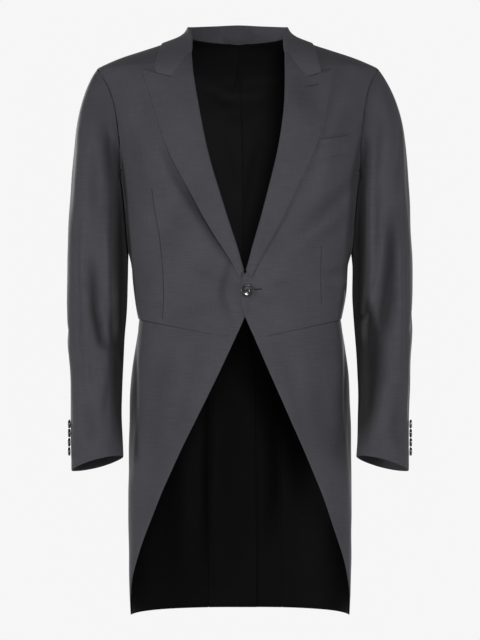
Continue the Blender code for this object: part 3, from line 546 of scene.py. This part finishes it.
def layCut(mesh, points, group, middle):
    # UV map in metres along the cloth: round the form, up it and over the shoulder
    away = awayFromAxis(points, group)
    turn = np.arctan2(away[:, 0], -away[:, 1]) - middle
    turn = (turn + math.pi) % (2 * math.pi) - math.pi + middle
    over = (cutLay["shoulderShare"] * ramp(points, 2, cutLay["shoulder"])
            * (cutLay["shoulderDepth"] - np.abs(points[:, 1])))
    spots = np.column_stack((turn * cutLay[f"{group}Radius"], points[:, 2] + over))
    corners = np.empty(len(mesh.loops), dtype=np.int32)
    mesh.loops.foreach_get("vertex_index", corners)
    mesh.uv_layers.new(name="cut").data.foreach_set("uv", spots[corners].ravel())


rim = {
    "sharp": 58,        # degrees, an edge of the cut
    "wide": 1.6,        # walls, the widest rim
    "headSharp": 36,    # the same for a sleeve's head, which is cut slanting
    "headWide": 2.6,
    "headInside": 197,  # mm from the middle and the height that bound the head
    "headAbove": -245,
    "meet": 0.3,        # mm that a rim goes out to meet the next piece
    "round": 0.24,      # walls
    "corner": 38,       # degrees
}


def softenRim(form, wall, isSleeve):
    # Fold the cut edges in: the seam edges meet, and each gets a small round
    def atHead(item):
        return isSleeve and all(abs(v.co.x) < rim["headInside"] * mm
                                and v.co.z > rim["headAbove"] * mm for v in item.verts)

    crease = form.edges.layers.float.new("crease_edge")
    sharp = [e for e in form.edges if len(e.link_faces) == 2 and e.calc_face_angle()
             > math.radians(rim["headSharp"] if atHead(e) else rim["sharp"])]
    sharpSet = set(sharp)
    moves = {}
    for face in form.faces:
        edges = [e for e in face.edges if e in sharpSet]
        apart = any(not set(a.verts) & set(b.verts) for a in edges for b in edges)
        widest = (rim["headWide"] if atHead(face) else rim["wide"]) * wall
        if apart and min(e.calc_length() for e in face.edges) < widest:
            for vertex in face.verts:
                moves.setdefault(vertex, []).append(face.normal.copy())
    for vertex, normals in moves.items():
        reach = Vector()
        for normal in normals:
            # neighbours on one straight seam count once, a corner counts both its seams
            if reach.dot(normal) < 0.7:
                reach += normal - normal * max(reach.dot(normal), 0)
        vertex.co += reach * rim["meet"] * mm
    bmesh.ops.bevel(form, geom=sharp, offset=rim["round"] * wall, segments=1, affect="EDGES",
                    clamp_overlap=True)
    for edge in form.edges:
        # corners of the cut stay corners
        if (edge.calc_length() < wall and len(edge.link_faces) == 2
                and edge.calc_face_angle() > math.radians(rim["corner"])):
            edge[crease] = 1.0


clothOf = {
    # wall in mm, subdivisions, flat cut in metres, area of one side, what it is sewn to
    "forepart": (1.8, 3, (0.31, 0.50), 0.090, ("side_body", "back", "skirt")),
    "side_body": (1.8, 3, (0.20, 0.29), 0.043, ("forepart", "back")),
    "back": (1.8, 2, (0.21, 0.97), 0.112, ("side_body", "skirt")),
    "skirt": (1.8, 3, (0.37, 0.50), 0.143, ("forepart", "back")),
    "lapel": (1.8, 2, (0.11, 0.40), 0.020, ("forepart",)),
    "back_lining": (1.0, 2, (0.20, 0.95), 0.100, ("back",)),
    "skirt_lining": (1.0, 2, (0.36, 0.49), 0.136, ("skirt",)),
    "top_sleeve": (1.8, 3, (0.21, 0.68), 0.104, ("under_sleeve", "forepart")),
    "under_sleeve": (1.8, 3, (0.19, 0.65), 0.092, ("top_sleeve", "side_body")),
    "collar": (1.8, 2, (0.10, 0.46), 0.033, ("back_left", "back_right")),
    "breast_welt": (1.8, 3, (0.060, 0.030), 0.0016, ("forepart_left",)),
    "hanger_loop": (1.2, 2, (0.012, 0.060), 0.0004, ("collar",)),
}
shellForm = {
    "merge": 0.02,              # mm between points that are one
    "joinFaces": 0.9,           # radians between triangles that become one four-sided face
    "joinShapes": 3.1,
    "smoothUnder": 60,          # degrees, the edges that are shaded smooth
    "deepest": 7.0,             # mm of crease depth that counts as 1 on the painted shade attribute
    "foldLimits": (-0.6, 1.4),
    "collarPaintedLight": -0.5,         # the collar is painted paler: painted highlight
    "weltRun": 6.2,             # mm that the welt's inner end runs on to the lapel
    "weltShare": (0.55, 0.8),   # of its length, where that starts and is full
    "insideFacing": -0.45,      # how squarely a face looks inwards to be the inner side
    "cuffLining": -648,         # height; the sleeve's own cloth turns in below it
    "tailHalf": 75,             # mm from the middle; the suiting's rims and hem there take the black lining: painted shade
    "rimFacing": 0.3,
}
lapelRoll = {
    "bands": 60,                # levels at which the lapel's width is read
    "bandHalf": 9,              # mm
    "rise": {"right": 5.5, "left": 1.4},    # mm that its lower edge stands off the front
    "foot": (-385, -330),       # heights between which it starts to rise
    "top": (-300, -160),        # and lies down again
    "belly": 0.8,               # mm, soft swell between its edges
    "bellyFoot": (-360, -250),
}


def liftLapel(points, side):
    # The lapel rolls over softly and its lower edge stands off the front
    across = np.abs(points[:, 0] - bodyMiddle)
    levels = np.linspace(points[:, 2].min(), points[:, 2].max(), lapelRoll["bands"])
    inner, outer = [], []
    for level in levels:
        near = across[np.abs(points[:, 2] - level) < lapelRoll["bandHalf"] * mm]
        inner.append(near.min() if len(near) else 0)
        outer.append(near.max() if len(near) else 0.01)
    inner = np.interp(points[:, 2], levels, inner)
    outer = np.interp(points[:, 2], levels, outer)
    share = np.clip((across - inner) / np.maximum(outer - inner, 1e-4), 0, 1)
    height = ramp(points, 2, lapelRoll["foot"]) * (1 - ramp(points, 2, lapelRoll["top"]))
    belly = lapelRoll["belly"] * np.sin(math.pi * share) * ramp(points, 2, lapelRoll["bellyFoot"])
    return (lapelRoll["rise"][side] * height * share ** 2 + belly) * mm


def plainShell(node, wall, levels, isSleeve):
    # The solid's form as one smooth closed mesh of its own
    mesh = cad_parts[node].data.copy()
    piece = addObject(f"{node}_cloth", mesh)
    form = bmesh.new()
    form.from_mesh(mesh)
    bmesh.ops.remove_doubles(form, verts=form.verts, dist=shellForm["merge"] * mm)
    bmesh.ops.join_triangles(form, faces=form.faces, angle_face_threshold=shellForm["joinFaces"],
                             angle_shape_threshold=shellForm["joinShapes"])
    softenRim(form, wall * mm, isSleeve)
    form.to_mesh(mesh)
    form.free()
    choose(piece)
    smooth = piece.modifiers.new("smooth", "SUBSURF")
    smooth.levels = smooth.render_levels = levels
    bpy.ops.object.modifier_apply(modifier=smooth.name)
    return piece


def creaseShell(mesh, node, kind, side, group):
    # Press the creases in and note on each point its painted shade, from how deep it lies
    points = readVectors(mesh.vertices, "co")
    lines = creases[group] + (creases["lining"] if "lining" in kind else [])
    if node == "forepart_right":
        lines = lines + creases["dips"]
    outward = outwardAt(points, group)
    depth = foldDepths(points, lines)
    paintedShade = np.clip(depth / (shellForm["deepest"] * mm), *shellForm["foldLimits"])
    free = 1.0
    if kind in bodyPanels + sleevePanels and kind != "skirt":
        other = bodyForm if group == "sleeve" else sleeveForm
        free = freeOfArmhole(points, other)
        depth = depth * free - pressTogether(points, outward, other)
    if kind == "collar":
        paintedShade += shellForm["collarPaintedLight"]
    if kind == "lapel":
        depth -= liftLapel(points, side)
    if kind == "breast_welt":
        share = (points[:, 0].max() - points[:, 0]) / np.ptp(points[:, 0])
        points[:, 0] -= shellForm["weltRun"] * mm * smoothStep(share, *shellForm["weltShare"])
    points = points - outward * depth[:, None]
    if group == "sleeve":
        paintedShade = np.maximum(paintedShade, turnInnerBack(points, free))
    mesh.vertices.foreach_set("co", points.ravel())
    mesh.attributes.new("paintedShade", "FLOAT", "POINT").data.foreach_set("value", paintedShade)
    mesh.update()
    centre = awayFromAxis(points.mean(axis=0)[None, :], group)[0]
    layCut(mesh, points, group, math.atan2(centre[0], -centre[1]))


def lineShell(mesh, kind, group):
    # The inner side of a panel is its lining
    mesh.materials.append(lining)
    centres = readVectors(mesh.polygons, "center")
    facing = np.einsum("ij,ij->i", readVectors(mesh.polygons, "normal"),
                       outwardAt(centres, group))
    inside = facing < shellForm["insideFacing"]
    if group == "sleeve":
        inside &= centres[:, 2] > shellForm["cuffLining"] * mm
    # the backs' and skirts' rims and hem near the middle take the lining's black: painted shade on
    # suiting
    if kind in ("back", "skirt"):
        inside |= ((np.abs(centres[:, 0]) < shellForm["tailHalf"] * mm) & (centres[:, 1] > 0)
                   & (facing < shellForm["rimFacing"]))
    mesh.polygons.foreach_set("material_index", inside.astype(np.int32))


def clothShell(node):
    # A finished cloth piece on one solid
    kind, side = (node.rsplit("_", 1) + [""])[:2] if node.endswith(sides) else (node, "")
    wall, levels, flat, area, sewnTo = clothOf[kind]
    group = "sleeve" if kind in sleevePanels else "body"
    isLining = "lining" in kind
    piece = plainShell(node, wall, levels, group == "sleeve")
    creaseShell(piece.data, node, kind, side, group)
    piece.data.materials.clear()
    piece.data.materials.append(lining if isLining else suiting)
    if kind in bodyPanels + sleevePanels:
        lineShell(piece.data, kind, group)
    bpy.ops.object.shade_smooth_by_angle(angle=math.radians(shellForm["smoothUnder"]))
    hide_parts(node)
    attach(piece, "root")
    return piece


cloth = {}
for kind in clothOf:
    for node in ([kind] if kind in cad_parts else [f"{kind}_{side}" for side in sides]):
        cloth[node] = clothShell(node)
print("cloth pieces made:", len(cloth))


def surfaceOf(names):
    # Surface of some cloth pieces, to lay sewing on
    form = bmesh.new()
    for name in names:
        form.from_mesh(cloth[name].data)
    tree = BVHTree.FromBMesh(form)
    form.free()
    return tree


def finishSmall(piece, material, degrees=40):
    # A button has its materials already, so it brings none
    if material:
        piece.data.materials.clear()
        piece.data.materials.append(material)
    choose(piece)
    bpy.ops.object.shade_smooth_by_angle(angle=math.radians(degrees))
    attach(piece, "root")


def selectWhere(test, mode="FACE"):
    # Choose faces or edges of the open mesh by their place and direction
    bpy.ops.mesh.select_mode(type=mode)
    bpy.ops.mesh.select_all(action="DESELECT")
    form = bmesh.from_edit_mesh(bpy.context.object.data)
    for item in (form.faces if mode == "FACE" else form.edges):
        item.select_set(test(item))
    form.select_flush_mode()
    bmesh.update_edit_mesh(bpy.context.object.data)


button = {
    # millimetres
    "radius": 10.0, "height": 3.2, "rim": 1.5, "round": 0.9,
    "grooveWidth": 0.6, "groove": 0.5,
    "dish": 0.8, "dishReach": 4.4, "dishStep": 0.9,
    "backRim": 2.2, "backStep": 0.5,
    "holeRadius": 0.9, "holeSpread": 1.6,
    "threadRadius": 0.4, "threadSunk": 0.3,
}
threadStretch = (5.2, 1.7, 0.9)     # a thread's loop against a ball of its radius


def modelButton():
    # Four-hole jacket button, 20 mm, with its thread; face up at the origin
    size = {name: value * mm for name, value in button.items()}
    bpy.ops.object.select_all(action="DESELECT")
    bpy.ops.mesh.primitive_cylinder_add(vertices=64, radius=size["radius"], depth=size["height"])
    made = bpy.context.object
    made.name = "button_model"
    bpy.ops.object.mode_set(mode="EDIT")
    # the face: rim, groove, flat ring, dish in two steps
    selectWhere(lambda face: face.normal.z > 0.9)
    bpy.ops.mesh.inset(thickness=size["rim"])
    bpy.ops.mesh.inset(thickness=size["grooveWidth"], depth=-size["groove"])
    bpy.ops.mesh.inset(thickness=size["radius"] - size["rim"] - size["grooveWidth"]
                       - size["dishReach"])
    bpy.ops.mesh.inset(thickness=size["dishStep"], depth=-0.6 * size["dish"])
    bpy.ops.mesh.inset(thickness=size["dishStep"], depth=-0.4 * size["dish"])
    # the back stands on a low step
    selectWhere(lambda face: face.normal.z < -0.9)
    bpy.ops.mesh.inset(thickness=size["backRim"], depth=size["backStep"])
    selectWhere(lambda edge: all(v.co.to_2d().length > 0.98 * size["radius"] for v in edge.verts)
                and abs(edge.verts[0].co.z - edge.verts[1].co.z) < 1e-5, "EDGE")
    bpy.ops.mesh.bevel(offset=size["round"], segments=4)
    bpy.ops.object.mode_set(mode="OBJECT")
    for turn in range(4):
        corner = Matrix.Rotation(math.radians(45 + 90 * turn), 4, "Z") @ Vector(
            (size["holeSpread"], 0, 0))
        bpy.ops.object.select_all(action="DESELECT")
        bpy.ops.mesh.primitive_cylinder_add(vertices=20, radius=size["holeRadius"],
                                            depth=3 * size["height"], location=corner)
        drill = bpy.context.object
        hole = made.modifiers.new("hole", "BOOLEAN")
        hole.operation = "DIFFERENCE"
        hole.object = drill
        bpy.context.view_layer.objects.active = made
        bpy.ops.object.modifier_apply(modifier=hole.name)
        bpy.data.objects.remove(drill)
    made.data.materials.append(resin)
    # two loops of thread lie in the dish
    top = size["height"] / 2 - size["groove"] - size["dish"] + size["threadSunk"]
    threads = []
    for side in (-1, 1):
        bpy.ops.object.select_all(action="DESELECT")
        bpy.ops.mesh.primitive_uv_sphere_add(segments=16, ring_count=10,
                                             radius=size["threadRadius"])
        thread = bpy.context.object
        spread = side * size["holeSpread"] * math.sqrt(0.5)
        thread.data.transform(Matrix.Translation((0, spread, top))
                              @ Matrix.Diagonal((*threadStretch, 1)))
        thread.data.materials.append(twistThread)
        threads.append(thread)
    choose(made, *threads)
    bpy.ops.object.join()
    return made


def seatOf(node, group):
    # Where a button's solid lies: its middle and turn, its radius and its height
    points = readVectors(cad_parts[node].data.vertices, "co")
    middle = points.mean(axis=0)
    axis = Vector(np.linalg.svd(points - middle)[2][2])
    if axis.dot(Vector(outwardAt(middle[None, :], group)[0])) < 0:
        axis.negate()
    along = (points - middle) @ np.array(axis)
    middle = Vector(middle) + axis * (along.max() + along.min()) / 2
    aside = points - np.array(middle)
    aside -= (aside @ np.array(axis))[:, None] * np.array(axis)
    across = Vector((0, 0, 1)).cross(axis).normalized()
    turn = Matrix((across, axis.cross(across), axis)).transposed().to_4x4()
    seat = Matrix.Translation(middle) @ turn
    return seat, np.linalg.norm(aside, axis=1).max(), along.max() - along.min()


buttonModel = modelButton()
for node in [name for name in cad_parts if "button" in name]:
    group = "sleeve" if node.startswith("cuff") else "body"
    seat, reach, height = seatOf(node, group)
    piece = addObject(f"{node}_turned", buttonModel.data.copy())
    scale = reach / (button["radius"] * mm)
    # sewn on by hand, turned any way
    turn = Matrix.Rotation(math.radians(8 + 31 * len(node)), 4, "Z")
    piece.data.transform(seat @ turn @ Matrix.Diagonal(
        (scale, scale, height / (button["height"] * mm), 1)))
    finishSmall(piece, None, 35)
    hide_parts(node)
bpy.data.objects.remove(buttonModel)
print("buttons made")


stitch = {
    # millimetres
    "radius": 0.36,
    "pitch": 0.8,
    "aside": 0.6,       # from the middle of the buttonhole to its two rows
    "above": 0.1,
    "endAbove": 0.15,   # the bar stitches at the ends lie on top
}
stitchStretch = (1.8, 1.0, 0.8)


def modelStitch():
    # One purl of the buttonhole, lying along X
    bpy.ops.object.select_all(action="DESELECT")
    bpy.ops.mesh.primitive_uv_sphere_add(segments=10, ring_count=6, radius=stitch["radius"] * mm)
    made = bpy.context.object
    made.name = "stitch_model"
    bpy.ops.object.mode_set(mode="EDIT")
    bpy.ops.mesh.select_all(action="SELECT")
    bpy.ops.transform.resize(value=stitchStretch, center_override=(0, 0, 0))
    bpy.ops.object.mode_set(mode="OBJECT")
    return made


def joinCopies(name, model, places):
    # One piece from a model set down at many places
    copies = []
    for place in places:
        copies.append(addObject(name, model.data.copy()))
        copies[-1].data.transform(place)
    choose(*copies)
    bpy.ops.object.join()
    return copies[0]


buttonholes = {
    # surface, start and end (across, height), thread
    "front_buttonhole": (("forepart_right", "forepart_left"), (21.5, -421.2), (34.5, -420.6),
                         twistThread),
    "lapel_buttonhole": (("lapel_left",), (104.0, -96.0), (126.0, -93.0), greyThread),
}


def stitchPlaces(surface, first, last):
    # A row of stitches on both sides of the slit, and one across each of its ends
    places = []
    count = int(math.dist(first, last) / stitch["pitch"])
    for i in range(count + 1):
        t = i / count
        spot, normal = placeOn(surface, "front", first[0] + (last[0] - first[0]) * t,
                               first[1] + (last[1] - first[1]) * t)
        along = Vector((last[0] - first[0], 0, last[1] - first[1])).normalized()
        across = normal.cross(along).normalized()
        along = across.cross(normal)
        for side in (-1, 1):
            turn = Matrix((across, along, normal)).transposed().to_4x4()
            offset = across * side * stitch["aside"] + normal * stitch["above"]
            places.append(Matrix.Translation(spot + offset * mm) @ turn)
        if i in (0, count):
            turn = Matrix((along, across, normal)).transposed().to_4x4()
            places.append(Matrix.Translation(spot + normal * stitch["endAbove"] * mm) @ turn)
    return places


stitchModel = modelStitch()
for name, (names, first, last, thread) in buttonholes.items():
    places = stitchPlaces(surfaceOf(names), first, last)
    finishSmall(joinCopies(name, stitchModel, places), thread)
bpy.data.objects.remove(stitchModel)


def drawLine(name, spots, radius, material):
    # A round line through the spots, which are in metres
    curve = bpy.data.curves.new(name, "CURVE")
    curve.dimensions = "3D"
    curve.bevel_depth = radius * mm
    curve.bevel_resolution = 1
    curve.use_fill_caps = True
    line = curve.splines.new("POLY")
    line.points.add(len(spots) - 1)
    for point, spot in zip(line.points, spots):
        point.co = (*spot, 1)
    choose(addObject(name, curve))
    bpy.ops.object.convert(target="MESH")
    finishSmall(bpy.context.object, material)


def seamShadeLine(name, names, spots, radius):
    # A line of black thread drawn into the front of the cloth, more than half sunk: it paints the
    # shade of a seam's groove
    surface = surfaceOf(names)
    rows = []
    for (a, az), (b, bz) in zip(spots, spots[1:]):
        steps = max(int(math.dist((a, az), (b, bz)) / seamStep), 1)
        rows += [(a + (b - a) * i / steps, az + (bz - az) * i / steps) for i in range(steps)]
    rows.append(spots[-1])
    placed = [placeOn(surface, "front", *row) for row in rows]
    drawLine(name, [spot - normal * seamSunk * radius * mm for spot, normal in placed], radius,
             twistThread)


seamStep = 3    # mm between the points of a seam line
seamSunk = 0.3  # of its radius
# dark lines along the seams, painted shade for their grooves
seamShadeLines = {
    # surfaces, places (across, height), radius of the line in mm
    "dart_seam_shade_right": (("forepart_right",), ((-142, -258), (-137, -295), (-129, -338),
                        (-124, -390), (-123, -438), (-125, -468)), 0.65),
    "dart_seam_shade_left": (("forepart_left",), ((131, -350), (130, -372), (129.5, -398),
                       (130, -420), (131, -444)), 0.4),
    "gorge_seam_shade_right": (("collar", "lapel_right"),
                         ((-150, -67), (-136, -71.5), (-122, -76), (-111, -80)), 0.45),
    "gorge_seam_shade_left": (("collar", "lapel_left"), ((116, -78), (123, -75), (130, -72)), 0.35),
}
pressedSeams = {
    # millimetres
    "waistAt": (46, 62, 80, 98, 116, 134, 150, 162),    # across
    "waistRadius": 0.4,
    "armholeAt": range(-196, -72, 12),                  # heights
    "armholeRadius": 0.5,
    "near": 3,          # the edge is read this far to both sides of a place
    "buttonStand": 30,  # the overlap at the front button is left out
}
armholeTapeShade = {
    "heights": (-0.246, -0.09, 0.005),  # m, from, to and step
    "near": 4,                          # mm
    "sunk": 0.8,                        # mm towards the chest
    "radius": 1.5,                      # mm
    "fit": 5,                           # degree of the smooth curve through the places
}


def layTapeShade(side):
    # The stay tape of the back armhole, in the black lining, lying in the seam between the body and
    # the sleeve; where it shows in the seam it is painted shade
    body, sleeve = [np.concatenate([readVectors(cloth[f"{name}_{side}"].data.vertices, "co")
                                    for name in names])
                    for names in (("back", "side_body"), sleevePanels)]
    body = body[body[:, 1] > 0]
    heights = np.arange(*armholeTapeShade["heights"])
    spots = []
    for height in heights:
        near = body[np.abs(body[:, 2] - height) < armholeTapeShade["near"] * mm]
        edge = near[np.abs(near[:, 0]).argmax()]
        other = sleeve[np.linalg.norm(sleeve - edge, axis=1).argmin()]
        spots.append((edge + other) / 2)
    across, deep = [np.polyval(np.polyfit(heights, places, armholeTapeShade["fit"]), heights)
                    for places in np.array(spots)[:, :2].T]
    drawLine(f"armhole_tape_shade_{side}",
             np.stack([across, deep - armholeTapeShade["sunk"] * mm, heights], axis=1),
             armholeTapeShade["radius"], lining)


for name, (names, spots, radius) in seamShadeLines.items():
    seamShadeLine(name, names, spots, radius)
for side, sign in (("right", -1), ("left", 1)):
    # the waist seam and the armhole seam along the forepart's edges get such a line of painted shade
    near = pressedSeams["near"]
    front = readVectors(cloth[f"forepart_{side}"].data.vertices, "co") / mm
    front = front[(front[:, 1] < 0) & (np.abs(front[:, 0]) > pressedSeams["buttonStand"])]
    waist = [(sign * across, front[np.abs(front[:, 0] - sign * across) < near, 2].min())
             for across in pressedSeams["waistAt"]]
    trend = np.polyfit(*zip(*waist), 2)
    seamShadeLine(f"waist_seam_shade_{side}", (f"forepart_{side}", f"skirt_{side}"),
             [(across, np.polyval(trend, across)) for across, _ in waist],
             pressedSeams["waistRadius"])
    heights = list(pressedSeams["armholeAt"])
    edge = [np.abs(front[np.abs(front[:, 2] - height) < near, 0]).max() for height in heights]
    trend = np.polyfit(heights, edge, 3)
    seamShadeLine(f"armhole_seam_shade_{side}", (f"forepart_{side}", f"top_sleeve_{side}"),
             [(sign * np.polyval(trend, height), height) for height in heights],
             pressedSeams["armholeRadius"])
    layTapeShade(side)
print("sewing made")

view = {
    "distance": 3.5,    # m in front of the coat's middle
    "height": -0.470,
    "covers": 1.056,    # m, the picture's height at the coat
    "sensor": 24.0,     # mm
}
scene = bpy.context.scene
camera = addObject("camera", bpy.data.cameras.new("camera"))
camera.location = (0.0, -view["distance"], view["height"])
camera.rotation_euler = (math.radians(90), 0, 0)
camera.data.sensor_fit = "VERTICAL"
camera.data.sensor_height = view["sensor"]
camera.data.lens = view["sensor"] * view["distance"] / view["covers"]
scene.camera = camera

aim = Vector((0.0, 0.0, -0.45))     # the lights point at the middle of the coat
studio = {
    # place, size in metres, watts
    "front box": ((0.35, -3.7, 0.35), 0.9, 108.0),
    "left box": ((-2.7, -2.2, -0.5), 0.8, 66.0),
    "right box": ((3.0, -1.0, -0.6), 1.2, 34.0),
    "back left box": ((-1.8, 3.3, 0.4), 1.0, 120.0),
    "back right box": ((1.5, 3.5, -0.3), 1.0, 60.0),
}
for name, (place, size, watts) in studio.items():
    light = addObject(name, bpy.data.lights.new(name, "AREA"))
    light.location = place
    light.rotation_euler = (aim - Vector(place)).to_track_quat("-Z", "Y").to_euler()
    light.data.shape = "DISK"
    light.data.size = size
    light.data.energy = watts

# Near-white paper all round; it lights the coat less than it shows
paper = {"seen": ("#f6f6f6", 1.0), "cast": ("#eef0f4", 0.15)}       # colour and strength
floorSize = 5.6         # m
floorHeight = -1.6      # m, well below the hem, out of the picture
world = bpy.data.worlds.new("studio")
scene.world = world
world.use_nodes = True
sky = world.node_tree
sky.nodes.clear()
seen, cast = [addNode(sky, "ShaderNodeBackground", inputs={"Color": hexToLinear(colour),
                      "Strength": strength}) for colour, strength in paper.values()]
rays = addNode(sky, "ShaderNodeLightPath")
mixed = addNode(sky, "ShaderNodeMixShader", inputs={0: rays.outputs["Is Camera Ray"],
                1: cast.outputs[0], 2: seen.outputs[0]})
addNode(sky, "ShaderNodeOutputWorld", inputs={0: mixed.outputs[0]})
scene.view_settings.view_transform = "Standard"

bpy.ops.object.select_all(action="DESELECT")
bpy.ops.mesh.primitive_plane_add(size=floorSize)
floor = bpy.context.object
floor.name = "floor"
floor.data.transform(Matrix.Translation((0, 0, floorHeight)))
# Matt floor paint, rolled: pale, with a faint mottle
painted, paintTree, paintShader = newMaterial("matt_floor_paint", 0.9)
place = addNode(paintTree, "ShaderNodeTexCoord").outputs["Object"]
mottle = addNode(paintTree, "ShaderNodeTexNoise", inputs={"Vector": place, "Scale": 6.0})
shade = addNode(paintTree, "ShaderNodeMix", {"data_type": "RGBA"}, {"Factor": mottle.outputs[0],
                6: hexToLinear("#dedede"), 7: hexToLinear("#e8e8e8")})
paintTree.links.new(shade.outputs[2], paintShader.inputs["Base Color"])
floor.data.materials.append(painted)
print("studio made")
